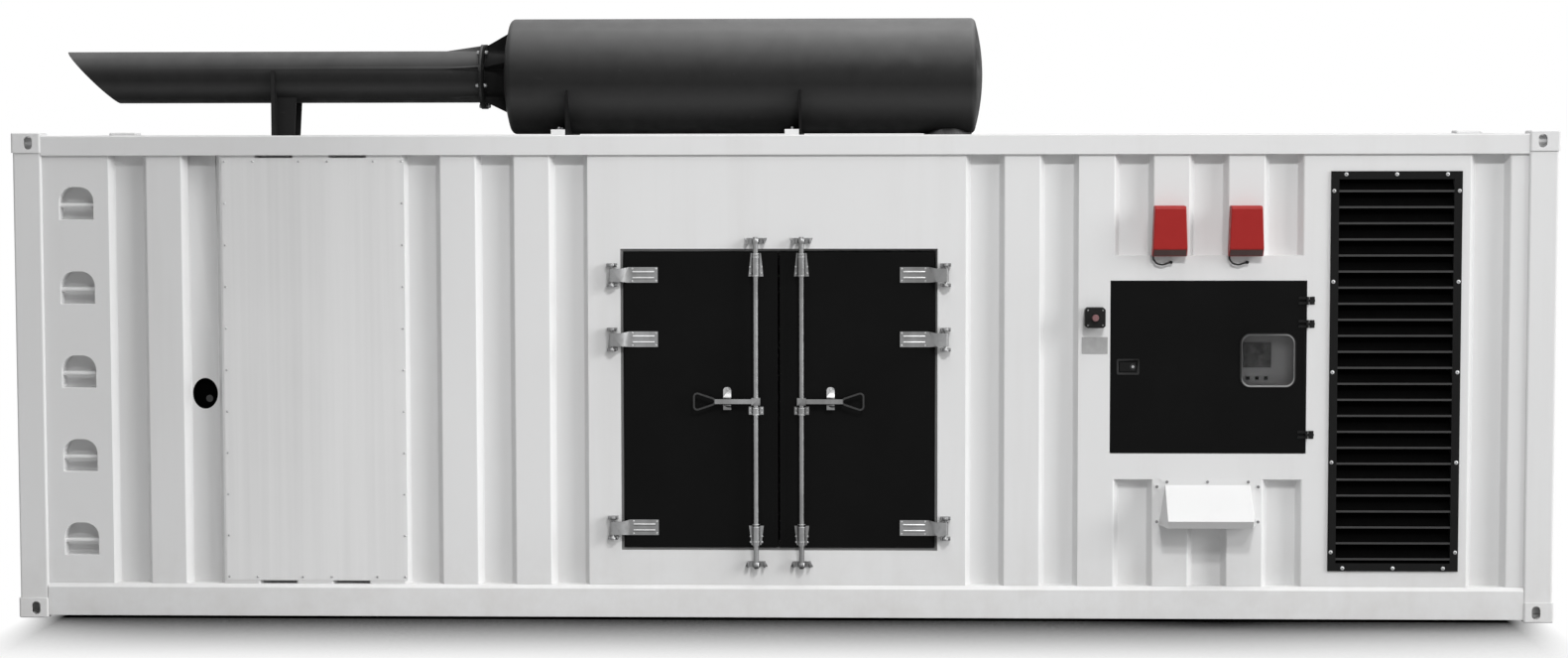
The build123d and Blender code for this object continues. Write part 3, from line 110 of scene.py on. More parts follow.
class Finish:
    """One procedural finish: a Principled shader with patterns in Object coordinates."""

    def __init__(self, name, **values):
        self.material = bpy.data.materials.new(name)
        self.material.use_nodes = True
        self.tree = self.material.node_tree
        self.shader = self.tree.nodes["Principled BSDF"]
        self.place = self.node("ShaderNodeTexCoord").outputs["Object"]
        for socket, value in values.items():
            self.shader.inputs[socket.replace("_", " ")].default_value = value

    def node(self, kind, **settings):
        made = self.tree.nodes.new(kind)
        for name, value in settings.items():
            setattr(made, name, value)
        return made

    def feed(self, value, socket):
        """A socket of another node, or a plain number, into this socket."""
        if isinstance(value, bpy.types.NodeSocket):
            self.tree.links.new(value, socket)
        else:
            socket.default_value = value

    def maths(self, operation, first, second=0.0):
        made = self.node("ShaderNodeMath", operation=operation)
        self.feed(first, made.inputs[0])
        self.feed(second, made.inputs[1])
        return made.outputs[0]

    def product(self, first, second):
        return self.maths("MULTIPLY", first, second)

    def cloud(self, scale, detail=3.0, rough=0.5, stretch=(1, 1, 1)):
        """Soft noise from 0 to 1, with this many features a metre, drawn out along an axis by a
        stretch below 1."""
        drawn = self.node("ShaderNodeMapping")
        self.feed(self.place, drawn.inputs["Vector"])
        drawn.inputs["Scale"].default_value = stretch
        made = self.node("ShaderNodeTexNoise")
        self.feed(drawn.outputs["Vector"], made.inputs["Vector"])
        for socket, value in (("Scale", scale), ("Detail", detail), ("Roughness", rough)):
            made.inputs[socket].default_value = value
        return made.outputs["Fac"]

    def cells(self, scale, randomness=1.0):
        """Distance to the nearest of many points, with this many cells a metre."""
        made = self.node("ShaderNodeTexVoronoi")
        self.feed(self.place, made.inputs["Vector"])
        made.inputs["Scale"].default_value = scale
        made.inputs["Randomness"].default_value = randomness
        return made.outputs["Distance"]

    def axis(self, name):
        """One of the object's own axes, X, Y or Z, in metres."""
        made = self.node("ShaderNodeSeparateXYZ")
        self.feed(self.place, made.inputs[0])
        return made.outputs[name]

    def between(self, value, low, high, out_low=0.0, out_high=1.0):
        """The value's range moved to another range, and held at its ends."""
        made = self.node("ShaderNodeMapRange")
        for number, given in enumerate((value, low, high, out_low, out_high)):
            self.feed(given, made.inputs[number])
        return made.outputs[0]

    def mixed(self, factor, first, second):
        """Two colours mixed by a factor."""
        made = self.node("ShaderNodeMix", data_type="RGBA")
        self.feed(factor, made.inputs["Factor"])
        for socket, colour in ((made.inputs[6], first), (made.inputs[7], second)):
            plain = not isinstance(colour, bpy.types.NodeSocket)
            self.feed((*colour, 1.0) if plain else colour, socket)
        return made.outputs[2]

    def colour(self, value):
        self.feed(value, self.shader.inputs["Base Color"])

    def roughness(self, value):
        self.feed(value, self.shader.inputs["Roughness"])

    def sheen(self, low, high, scale, detail=3.0, rough=0.5):
        """Roughness that drifts between two values."""
        self.roughness(self.between(self.cloud(scale, detail, rough), 0.3, 0.7, low, high))

    def relief(self, height, depth, strength=1.0):
        """Bump of this depth in metres, on top of any relief made before."""
        made = self.node("ShaderNodeBump")
        made.inputs["Strength"].default_value = strength
        made.inputs["Distance"].default_value = depth
        self.feed(height, made.inputs["Height"])
        before = self.shader.inputs["Normal"]
        if before.is_linked:
            self.tree.links.new(before.links[0].from_socket, made.inputs["Normal"])
        self.tree.links.new(made.outputs["Normal"], before)

    def grain(self, scale, depth, strength, detail=2, rough=0.5, stretch=(1, 1, 1)):
        """Noise pressed into the surface."""
        self.relief(self.cloud(scale, detail, rough, stretch), depth, strength)


def grey(value, warm=0.0):
    return (value * (1 + warm), value, value * (1 - warm))


def even_finish(name, level, tones, drift, sheen, grain=None):
    """A nearly even finish of two tones and this specular level; drift, sheen and grain hold
    what cloud(), sheen() and grain() take."""
    f = Finish(name, Specular_IOR_Level=level)
    f.colour(f.mixed(f.cloud(*drift), *tones))
    f.sheen(*sheen)
    if grain:
        f.grain(*grain)
    return f.material


def white_container_paint():
    """Satin white enamel: soft drifts of tone, faint runs, dust along the sills, orange peel."""
    f = Finish("white_container_paint", Specular_IOR_Level=0.4)
    tone = f.mixed(f.cloud(0.9, 4), grey(0.690), grey(0.742, -0.003))
    runs = f.between(f.cloud(7.0, 3, 0.6, (1, 1, 0.06)), 0.52, 0.78, 0.0, 0.5)
    tone = f.mixed(runs, tone, grey(0.66, 0.006))
    low = f.between(f.axis("Z"), 0.02, 0.55, 1.0, 0.0)
    dust = f.product(low, f.between(f.cloud(5.0, 5, 0.65), 0.38, 0.75))
    f.colour(f.mixed(f.product(dust, 0.5), tone, grey(0.56, 0.03)))
    f.sheen(0.34, 0.5, 3.0, 4)
    f.grain(260, 0.00025, 0.35)
    f.grain(1.6, 0.004, 0.25)
    return f.material


def cover_sheet_paint():
    """Grey-white coated sheet: fine upright rolling marks and a soft cloud of tone."""
    f = Finish("cover_sheet_paint", Specular_IOR_Level=0.45)
    across = f.cloud(16.0, 3, 0.55, (1, 1, 0.015))
    tone = f.mixed(f.between(across, 0.3, 0.7), grey(0.675), grey(0.75))
    f.colour(f.mixed(f.between(f.cloud(1.3, 3), 0.35, 0.7, 0.0, 0.35), tone, grey(0.775)))
    f.roughness(f.between(across, 0.3, 0.7, 0.3, 0.46))
    f.grain(420, 0.00012, 0.5, stretch=(1, 1, 0.05))
    f.grain(2.2, 0.003, 0.3)
    return f.material


def black_paint(name, low, high):
    """Satin black enamel: nearly even, with faint marks from wiping and handling."""
    f = Finish(name, Specular_IOR_Level=0.04)
    tone = f.mixed(f.cloud(2.2, 5, 0.6), grey(low), grey(high))
    marks = f.between(f.cloud(38, 3, 0.7), 0.62, 0.8, 0.0, 0.35)
    f.colour(f.mixed(marks, tone, grey(high * 1.7)))
    f.sheen(0.36, 0.56, 6.0, 5, 0.6)
    f.grain(300, 0.0002, 0.3)
    f.grain(2.0, 0.003, 0.25)
    return f.material


def zinc_plate(name, low, high):
    """Zinc plating: long soft streaks, a few duller patches, fine draw lines."""
    f = Finish(name, Metallic=1.0)
    streaks = f.between(f.cloud(7, 3, 0.5, (1, 1, 0.3)), 0.35, 0.65)
    tone = f.mixed(streaks, grey(low), grey(high, -0.01))
    f.colour(f.mixed(f.between(f.cloud(40, 3, 0.6), 0.5, 0.72, 0.0, 0.3), tone, grey(low * 0.8)))
    f.sheen(0.3, 0.45, 30)
    f.grain(420, 0.00005, 0.2, stretch=(1, 1, 0.2))
    return f.material


def exhaust_paint():
    """Matt heat-proof paint on rolled plate: near black, with a painted reflection of the white
    roof on its lower flanks and a painted highlight where it looks up, strongest at the louvre
    end."""
    f = Finish("exhaust_paint", Specular_IOR_Level=0.2)
    facing = f.node("ShaderNodeSeparateXYZ")
    f.feed(f.node("ShaderNodeTexCoord").outputs["Normal"], facing.inputs[0])
    rise = facing.outputs["Z"]
    # Painted highlight: paler where the pipe looks up, standing in for the sky's reflection
    painted_top_highlight = f.maths("POWER", f.between(rise, 0.03, 0.8), 1.55)
    # Painted reflection of the white roof: a paler band on the lower flanks
    painted_roof_reflection = f.product(f.between(rise, -0.15, -0.42), f.between(rise, -0.78, -0.5))
    tone = f.mixed(f.cloud(3.2, 5, 0.6), grey(0.0055), grey(0.009))
    tone = f.mixed(painted_roof_reflection, tone, grey(0.03))
    # Tone of the painted highlight, stronger towards the louvre end
    top = f.mixed(f.between(f.axis("X"), -2.8, 0.6), grey(0.068), grey(0.19))
    tone = f.mixed(painted_top_highlight, tone, f.mixed(f.cloud(2.6, 5, 0.6), top, grey(0.125)))
    scuff = f.between(f.cloud(34, 4, 0.75, (0.35, 1, 1)), 0.62, 0.8, 0.0, 0.2)
    f.colour(f.mixed(scuff, tone, grey(0.07)))
    f.sheen(0.52, 0.7, 9.0, 4)
    f.grain(360, 0.0004, 0.45, 3, 0.6)
    return f.material


def gasket_grey():
    """Profile that holds the pane: a grey inner lip, paler low down and to the right, and a black
    flange.
    """
    f = Finish("gasket_grey", Specular_IOR_Level=0.2)
    straight, lip_end = 0.105, (0.0485, 0.0515)
    off = []
    for name, middle in (("X", WINDOW_X), ("Z", WINDOW_Z)):
        away = f.maths("ABSOLUTE", f.maths("SUBTRACT", f.axis(name), middle))
        beyond = f.maths("MAXIMUM", f.maths("SUBTRACT", away, straight), 0.0)
        off.append(f.maths("POWER", beyond, 2.0))
    reach = f.maths("SQRT", f.maths("ADD", *off))
    worn = f.maths("MAXIMUM", f.between(f.axis("Z"), 1.46, 1.40),
                   f.between(f.axis("X"), 2.86, 3.02, 0.0, 0.6))
    lip = f.mixed(worn, f.mixed(f.cloud(40, 3), grey(0.07), grey(0.11)), grey(0.32))
    f.colour(f.mixed(f.between(reach, *lip_end), lip, grey(0.006)))
    f.sheen(0.35, 0.5, 90, 2)
    f.grain(700, 0.0001, 0.3)
    return f.material


def floor_plate_paint():
    """Grey floor plate with raised lozenges, worn where people walk."""
    f = Finish("floor_plate_paint", Specular_IOR_Level=0.4)
    lozenges = 25.0
    x, y = f.product(f.axis("X"), lozenges), f.product(f.axis("Y"), lozenges)
    waves = [f.maths("ABSOLUTE", f.maths("SINE", f.product(f.maths(operation, x, y), math.pi)))
             for operation in ("ADD", "SUBTRACT")]
    bar = f.between(f.product(*waves), 0.55, 0.8)
    worn = f.between(f.cloud(3.0, 5, 0.6), 0.45, 0.65)
    tone = f.mixed(f.cloud(6.0, 5, 0.6), grey(0.10), grey(0.15))
    f.colour(f.mixed(f.product(worn, bar), tone, grey(0.36, 0.02)))
    f.roughness(f.between(worn, 0.0, 1.0, 0.55, 0.36))
    f.relief(bar, 0.0018, 0.8)
    return f.material


def cabinet_grey():
    """Powder coat on the control cabinet and its panel, with a fine even texture."""
    f = Finish("cabinet_grey", Specular_IOR_Level=0.2)
    f.colour(f.mixed(f.cloud(5.0, 4), grey(0.15), grey(0.2)))
    f.sheen(0.45, 0.6, 20)
    f.relief(f.cells(520), 0.0002, 0.5)
    return f.material


def display_glass():
    """Dark display behind its own clear face."""
    f = Finish("display_glass", Specular_IOR_Level=0.25)
    f.colour(f.mixed(f.between(f.cloud(26, 5, 0.7), 0.4, 0.65), grey(0.008), grey(0.05)))
    f.sheen(0.12, 0.24, 30, 2)
    return f.material


def tag_sheet():
    """Blank grey tag, lighter towards its lower half."""
    f = Finish("tag_sheet", Specular_IOR_Level=0.4)
    tone = f.mixed(f.between(f.axis("Z"), *TAG_LEVELS), grey(0.36), grey(0.31))
    f.colour(f.mixed(f.between(f.cloud(30, 3), 0.4, 0.7, 0.0, 0.4), tone, grey(0.42)))
    f.sheen(0.35, 0.5, 50, 2)
    return f.material


def window_pane():
    """Clear pane with a faint film of dust."""
    f = Finish("window_pane", Transmission_Weight=1.0, IOR=1.12, Specular_IOR_Level=0.2)
    f.colour(f.mixed(f.cloud(12, 4), grey(0.80), grey(0.90)))
    f.sheen(0.0, 0.03, 9.0, 4)
    return f.material


def liner_sheet():
    """Inner lining: pale sheet with rows of small round holes for the sound wool behind."""
    f = Finish("liner_sheet", Specular_IOR_Level=0.35)
    hole = f.between(f.cells(62.0, 0.0), 0.22, 0.27, 1.0, 0.0)
    tone = f.mixed(f.cloud(2.0, 3), grey(0.52), grey(0.58))
    f.colour(f.mixed(hole, tone, grey(0.03)))
    f.roughness(f.between(hole, 0.0, 1.0, 0.4, 0.8))
    f.relief(hole, 0.001, -0.6)
    return f.material


PAINT = white_container_paint()
COVER = cover_sheet_paint()
BLACK = black_paint("black_door_paint", 0.0032, 0.0062)
LOUVRE = black_paint("black_louvre_paint", 0.010, 0.014)
NECK = black_paint("black_neck_paint", 0.007, 0.012)
DISH = black_paint("black_latch_paint", 0.022, 0.03)
# Near-black painted shade on the louvre blades' slopes and on the walls of the oval port
SHADE_BLACK = even_finish("painted_shade_black", 0.02, (grey(0.0008), grey(0.0016)), (9, 4), (0.75, 0.9, 20))
# Painted highlight: the louvre blades' front lips in grey
LIP_HIGHLIGHT = even_finish("painted_lip_highlight", 0.2, (grey(0.033), grey(0.049)), (12, 5, 0.6), (0.45, 0.6, 40))
# Dark grey dip coat on the wire grips, also on the port's plug
GRIP = even_finish("grip_coat", 0.3, (grey(0.022), grey(0.034)), (60, 3), (0.45, 0.6, 90, 2))
ZINC = zinc_plate("dull_zinc", 0.19, 0.29)
BRIGHT = zinc_plate("bright_zinc", 0.38, 0.52)
EXHAUST = exhaust_paint()
# Moulded red plastic, satin, and the brown-grey plastic of the sounders' lower ends
RED = even_finish("sounder_red", 0.2, ((0.29, 0.013, 0.012), (0.33, 0.018, 0.016)), (14, 4),
                  (0.36, 0.5, 30), (900, 0.00015, 0.35))
BASE = even_finish("sounder_base", 0.25, ((0.10, 0.058, 0.055), (0.13, 0.082, 0.078)), (25, 4),
                   (0.45, 0.6, 30), (900, 0.00015, 0.35))
# Black extruded rubber with a dry skin
RUBBER = even_finish("seal_rubber", 0.25, (grey(0.014), grey(0.026)), (50, 3),
                     (0.6, 0.8, 80), (800, 0.0002, 0.4))
# Grey on the door frame in the rebate: painted shade of the leaves, besides the real shade of its
# set-back face
REBATE_SHADE = even_finish("rebate_painted_shade", 0.25, (grey(0.16), grey(0.21)), (4.0, 4),
                     (0.45, 0.6, 12), (300, 0.0002, 0.3))
GASKET = gasket_grey()
DECK = floor_plate_paint()
CABINET = cabinet_grey()
DISPLAY = display_glass()
# Faded red-grey moulded button
BUTTON = even_finish("stop_button_plastic", 0.4, ((0.17, 0.083, 0.09), (0.22, 0.112, 0.115)),
                     (70, 3), (0.35, 0.5, 120, 2))
# Black moulded plastic of the stop box, the control hinges and the glands
MOULDING = even_finish("black_moulding", 0.1, (grey(0.008), grey(0.015)), (30, 3),
                       (0.4, 0.55, 60, 2), (1200, 0.0001, 0.4))
TAG = tag_sheet()
PANE = window_pane()
LINER = liner_sheet()

FINISH_OF = {
    COVER: ("cover_plate",),
    BLACK: ("left_door_leaf", "right_door_leaf", "control_door"),
    ZINC: ("left_door_fittings", "right_door_fittings", "left_lock_rod", "right_lock_rod",
           "left_lock_handle", "right_lock_handle", "hinge_brackets", "rod_keepers"),
    LOUVRE: ("air_louvres", "latch_paddle"),
    DISH: ("latch_dish",),
    NECK: ("outlet_neck", "silencer_saddles"),
    EXHAUST: ("silencer", "tail_pipe", "tail_pipe_stand", "inlet_stub"),
    RED: ("alarm_sounders",),
    RUBBER: ("sounder_leads",),
    # Painted shade: the grey of the door frame in the rebate
    REBATE_SHADE: ("door_frame",),
    GASKET: ("window_gasket",),
    DECK: ("floor_plate",),
    CABINET: ("control_cabinet", "control_panel"),
    BUTTON: ("stop_button",),
    MOULDING: ("stop_box", "lead_glands", "control_hinge_leaves", "control_hinge_plates"),
    TAG: ("blank_tag",),
    PANE: ("window_pane",),
}
LINED_AT_FRONT = ("ladder_panel", "front_wall_left", "door_side_panels", "door_head_and_sill",
                  "front_wall_middle", "front_wall_at_bay", "bay_side_panel", "bay_head_and_sill",
                  "louvre_panel", "front_wall_right")


def dress_nodes():
    """Every node of the frame gets its finish; white enamel where no other is named."""
    named = {name: finish for finish, names in FINISH_OF.items() for name in names}
    for name, node in nodes.items():
        node.data.materials.clear()
        node.data.materials.append(named.get(name, PAINT))


def second_finish(name, finish, wanted):
    """The faces of a node for which wanted(centre, normal) is true take a second finish."""
    mesh = nodes[name].data
    mesh.materials.append(finish)
    index = len(mesh.materials) - 1
    for face in mesh.polygons:
        if wanted(face.center, face.normal):
            face.material_index = index


def in_port(at):
    """Whether a place is on the walls or the floor of the oval port."""
    inside = math.hypot((at.x - PORT_X) / PORT_HALF_X, (at.z - PORT_Z) / PORT_HALF_Z) < 1.01
    return -1.1315 < at.y < -1.085 and inside


def on_plug(at):
    """Whether a place is on the front of the port's plug."""
    plug_face, radius = -1.132, 0.0212
    return abs(at.y - plug_face) < 0.001 and math.hypot(at.x - PLUG_X, at.z - PLUG_Z) < radius


def in_louvre(at):
    """Whether a place is inside the border of one of the three louvres."""
    across, half, low, high = ((at.x - LOUVRE_X, 0.337, 0.345, 2.617) if at.x > 0
                               else (at.y, 0.745, 0.56, 2.39))
    return abs(across) < half and low < at.z < high


def on_blade_lip(at):
    """Whether a place is as far out as the louvres' front lips."""
    return abs(at.y) > 1.18 if at.x > 0 else at.x < -4.52


def finish_parts_of_nodes():
    """Second finishes of the nodes that have more than one."""
    for name in ("left_lock_handle", "right_lock_handle"):
        second_finish(name, GRIP, lambda at, out: abs(at.x - DOOR_X) > GRIP_U)
    second_finish("control_panel", DISPLAY,
                  lambda at, out: at.y < PANEL_FACE and DISPLAY_X[0] < at.x < DISPLAY_X[1]
                  and DISPLAY_Z[0] < at.z < DISPLAY_Z[1])
    second_finish("control_panel", MOULDING,
                  lambda at, out: at.y < PANEL_FACE and at.z < DISPLAY_Z[0])
    # Painted shade: the oval port's walls near black in the white wall
    second_finish("front_wall_left", SHADE_BLACK, lambda at, out: in_port(at))
    second_finish("front_wall_left", GRIP, lambda at, out: on_plug(at))
    # Painted shade: the louvre blades' slopes, far darker than the louvre paint
    second_finish("air_louvres", SHADE_BLACK, lambda at, out: in_louvre(at) and abs(out.z) > 0.2)
    # Painted highlight: the blades' front lips in grey
    second_finish("air_louvres", LIP_HIGHLIGHT,
                  lambda at, out: in_louvre(at) and abs(out.z) <= 0.2 and on_blade_lip(at))
    second_finish("alarm_sounders", BASE, lambda at, out: out.z < -0.3 and at.z < SOUNDER_FOOT)
    # Brighter zinc on the straps' raised ribs as a painted highlight, then on the catches' upper
    # parts
    for name in ("left_door_fittings", "right_door_fittings"):
        second_finish(name, BRIGHT, lambda at, out: RIB_U[0] < abs(at.x - DOOR_X) < RIB_U[1]
                      and at.y < RIB_FACE)
        second_finish(name, BRIGHT, lambda at, out:
                      abs(abs(at.x - DOOR_X) - CATCH_U) < CATCH_HALF + 0.0005 and at.z > 1.322)
    for name in LINED_AT_FRONT:
        second_finish(name, LINER, lambda at, out: out.y > 0.9 and at.y > -INNER_Y)
    second_finish("rear_wall", LINER, lambda at, out: out.y < -0.9 and at.y < INNER_Y)
    second_finish("end_walls", LINER, lambda at, out: out.x * at.x < -0.9 and abs(at.x) < INNER_X)
    second_finish("roof_panel", LINER, lambda at, out: out.z < -0.9)


def plain_object(name, data):
    made = bpy.data.objects.new(name, data)
    scene.collection.objects.link(made)
    return made


def photo_camera():
    """The photograph's camera, found from the corners of the container's front."""
    photo_width, focal_pixels, sensor = 1581, 3015.4, 36.0
    data = bpy.data.cameras.new("photo_camera")
    data.sensor_width = sensor
    data.lens = focal_pixels / photo_width * sensor
    data.clip_end = 200.0
    camera = plain_object("photo_camera", data)
    yaw, pitch, roll = math.radians(-1.868), math.radians(3.785), math.radians(-0.099)
    ahead = Vector((math.sin(yaw) * math.cos(pitch), math.cos(yaw) * math.cos(pitch),
                    -math.sin(pitch)))
    level = Vector((math.cos(yaw), -math.sin(yaw), 0))
    above = level.cross(ahead)
    right = level * math.cos(roll) + above * math.sin(roll)
    top = above * math.cos(roll) - level * math.sin(roll)
    turn = Matrix((right, top, -ahead)).transposed()
    camera.matrix_world = Matrix.Translation((0.601, -18.83, 2.9)) @ turn.to_4x4()
    scene.camera = camera
    scene.view_settings.view_transform = "Standard"


def shown_rays(tree):
    """A socket that is 1 for what the camera sees, in a mirror and through glass too."""
    path = tree.nodes.new("ShaderNodeLightPath")
    shown = path.outputs["Is Camera Ray"]
    for kind in ("Is Glossy Ray", "Is Transmission Ray"):
        most = tree.nodes.new("ShaderNodeMath")
        most.operation = "MAXIMUM"
        tree.links.new(shown, most.inputs[0])
        tree.links.new(path.outputs[kind], most.inputs[1])
        shown = most.outputs[0]
    return shown


def white_studio():
    """A world that shows white and lights the part only faintly."""
    world = bpy.data.worlds.new("white_studio")
    scene.world = world
    world.use_nodes = True
    tree = world.node_tree
    tree.nodes.clear()
    mix = tree.nodes.new("ShaderNodeMixShader")
    tree.links.new(shown_rays(tree), mix.inputs[0])
    for socket, strength in ((mix.inputs[1], 0.18), (mix.inputs[2], 1.0)):
        plain = tree.nodes.new("ShaderNodeBackground")
        plain.inputs["Color"].default_value = (1, 1, 1, 1)
        plain.inputs["Strength"].default_value = strength
        tree.links.new(plain.outputs[0], socket)
    out = tree.nodes.new("ShaderNodeOutputWorld")
    tree.links.new(mix.outputs[0], out.inputs["Surface"])


def sun(name, towards, share, angle):
    """A sun lamp in this direction, with this share of a white surface's full tone."""
    data = bpy.data.lights.new(name, "SUN")
    data.energy = share * math.pi
    data.angle = math.radians(angle)
    plain_object(name, data).rotation_euler = Vector(towards).to_track_quat("Z", "Y").to_euler()


def lamps():
    """Light from the front, the right and above, as on the photograph's bevels and shades."""
    sun("key_light", (0.2, -0.78, 0.62), 0.16, 6)
    sun("side_light", (0.89, -0.33, 0.30), 0.68, 30)
    sun("top_light", (0.0, -0.1, 1.0), 0.44, 60)
    data = bpy.data.lights.new("front_light", "SPOT")
    data.energy = 1570.0
    data.spot_size = math.radians(51)
    data.spot_blend = 0.62
    data.shadow_soft_size = 0.4
    lamp = plain_object("front_light", data)
    place, aim = Vector((3.0, -9.5, 9.0)), Vector((1.7, -1.2, 1.3))
    lamp.location = place
    lamp.rotation_euler = (place - aim).to_track_quat("Z", "Y").to_euler()


def studio_floor():
    """A floor that shows white with a soft painted shadow along the container, from occlusion, and
    lights it as grey.
    """
    mesh = bpy.data.meshes.new("studio_floor")
    reach = 60.0
    mesh.from_pydata([(x * reach, y * reach, 0) for x, y in ((-1, -1), (1, -1), (1, 1), (-1, 1))],
                     [], [(0, 1, 2, 3)])
    floor = plain_object("studio_floor", mesh)
    f = Finish("studio_floor", Specular_IOR_Level=0.1)
    f.colour(f.mixed(f.cloud(0.5, 2), grey(0.38), grey(0.42)))
    f.roughness(0.9)
    # Painted shadow: the white the camera sees darkens with occlusion within 1.6 m
    near = f.node("ShaderNodeAmbientOcclusion", samples=16)
    near.inputs["Distance"].default_value = 1.6
    open_sky = f.maths("POWER", f.between(near.outputs["AO"], 0.47, 1.0), 1.3)
    shade = f.maths("SUBTRACT", 1.0, open_sky)
    # The painted shadow fades out beyond the container's ends
    ends = f.between(f.maths("ABSOLUTE", f.axis("X")), 4.3, 4.53, 1.0, 0.0)
    shine = f.node("ShaderNodeEmission")
    shine.inputs["Color"].default_value = (1, 1, 1, 1)
    f.feed(f.maths("SUBTRACT", 1.0, f.product(shade, ends)), shine.inputs["Strength"])
    either = f.node("ShaderNodeMixShader")
    f.feed(shown_rays(f.tree), either.inputs[0])
    f.feed(f.shader.outputs[0], either.inputs[1])
    f.feed(shine.outputs[0], either.inputs[2])
    f.feed(either.outputs[0], f.tree.nodes["Material Output"].inputs["Surface"])
    mesh.materials.append(f.material)


def start_tree(name, **inputs):
    """A Geometry Nodes tree that takes geometry and these inputs: numbers, or None for a
    material."""
    tree = bpy.data.node_groups.new(name, "GeometryNodeTree")
    for way in ("INPUT", "OUTPUT"):
        tree.interface.new_socket("Geometry", in_out=way, socket_type="NodeSocketGeometry")
    kinds = {float: "NodeSocketFloat", int: "NodeSocketInt", type(None): "NodeSocketMaterial"}
    for label, value in inputs.items():
        socket = tree.interface.new_socket(label.replace("_", " "), in_out="INPUT",
                                           socket_type=kinds[type(value)])
        if value is not None:
            socket.default_value = value
    return tree


def tree_maths(tree, operation, first, second):
    """A sum or product of a socket and another socket or a number."""
    made = tree.nodes.new("ShaderNodeMath")
    made.operation = operation
    tree.links.new(first, made.inputs[0])
    if isinstance(second, bpy.types.NodeSocket):
        tree.links.new(second, made.inputs[1])
    else:
        made.inputs[1].default_value = second
    return made.outputs[0]


def stored(tree, name, kind):
    """A named attribute of the geometry."""
    made = tree.nodes.new("GeometryNodeInputNamedAttribute")
    made.data_type = kind
    made.inputs["Name"].default_value = name
    return made.outputs["Attribute"]


def on_points(tree, points, piece, axis, towards, metal, scale=None):
    """The piece on every point in this material, with an axis turned towards a direction."""
    make, link = tree.nodes.new, tree.links.new
    turn = make("FunctionNodeAlignRotationToVector")
    turn.axis = axis
    link(towards, turn.inputs["Vector"])
    put = make("GeometryNodeInstanceOnPoints")
    link(points, put.inputs["Points"])
    link(piece, put.inputs["Instance"])
    link(turn.outputs[0], put.inputs["Rotation"])
    if scale:
        link(scale, put.inputs["Scale"])
    real = make("GeometryNodeRealizeInstances")
    link(put.outputs[0], real.inputs[0])
    coated = make("GeometryNodeSetMaterial")
    link(real.outputs[0], coated.inputs["Geometry"])
    link(metal, coated.inputs["Material"])
    return coated.outputs[0]


def fastener_tree():
    """Screw heads on points: a washer, a head with a bevelled rim, and a driving recess drawn as a
    dark bar on the head, painted shade.

    Each point has an attribute, out, along which its head stands."""
    tree = start_tree("fastener_heads", Head_width=0.016, Head_height=0.006, Washer_width=0.024,
                      Washer_height=0.002, Sides=6, Recess=0.0, Metal=None)
    make, link = tree.nodes.new, tree.links.new
    source, sink = make("NodeGroupInput"), make("NodeGroupOutput")
    foot, sides = source.outputs["Washer height"], source.outputs["Sides"]
    shank_share, crown_share = 0.7, 0.3

    def share(label, factor):
        return tree_maths(tree, "MULTIPLY", source.outputs[label], factor)

    def lifted(geometry, height):
        place = make("ShaderNodeCombineXYZ")
        link(height, place.inputs["Z"])
        moved = make("GeometryNodeTransform")
        link(geometry, moved.inputs["Geometry"])
        link(place.outputs[0], moved.inputs["Translation"])
        return moved.outputs[0]

    def disc(low, high, depth):
        made = make("GeometryNodeMeshCone")
        for label, value in (("Radius Top", high), ("Radius Bottom", low), ("Depth", depth)):
            link(value, made.inputs[label])
        return made

    join = make("GeometryNodeJoinGeometry")
    washer = disc(share("Washer width", 0.5), share("Washer width", 0.47), foot)
    washer.inputs["Vertices"].default_value = 18
    link(washer.outputs["Mesh"], join.inputs[0])
    rise = tree_maths(tree, "ADD", foot, share("Head height", shank_share))
    for height, rim, depth in ((foot, 0.5, shank_share), (rise, 0.36, crown_share)):
        block = disc(share("Head width", 0.5), share("Head width", rim),
                     share("Head height", depth))
        link(sides, block.inputs["Vertices"])
        link(lifted(block.outputs["Mesh"], height), join.inputs[0])
    top = tree_maths(tree, "ADD", rise, share("Head height", crown_share))
    for along, across in (("X", "Y"), ("Y", "X")):
        bar = make("GeometryNodeMeshCube")
        size = make("ShaderNodeCombineXYZ")
        for axis, part in ((along, 1.0), (across, 0.22), ("Z", 0.08)):
            link(share("Recess", part), size.inputs[axis])
        link(size.outputs[0], bar.inputs["Size"])
        marked = make("GeometryNodeStoreNamedAttribute")
        marked.data_type = "BOOLEAN"
        marked.domain = "FACE"
        marked.inputs["Name"].default_value = "recess"
        marked.inputs["Value"].default_value = True
        link(lifted(bar.outputs["Mesh"], top), marked.inputs["Geometry"])
        link(marked.outputs[0], join.inputs[0])
    metal = on_points(tree, source.outputs["Geometry"], join.outputs[0], "Z",
                      stored(tree, "out", "FLOAT_VECTOR"), source.outputs["Metal"])
    # Painted shade: the recess bar takes the dark rubber colour
    dark = make("GeometryNodeSetMaterial")
    dark.inputs["Material"].default_value = RUBBER
    link(metal, dark.inputs["Geometry"])
    link(stored(tree, "recess", "BOOLEAN"), dark.inputs["Selection"])
    link(dark.outputs[0], sink.inputs[0])
    return tree


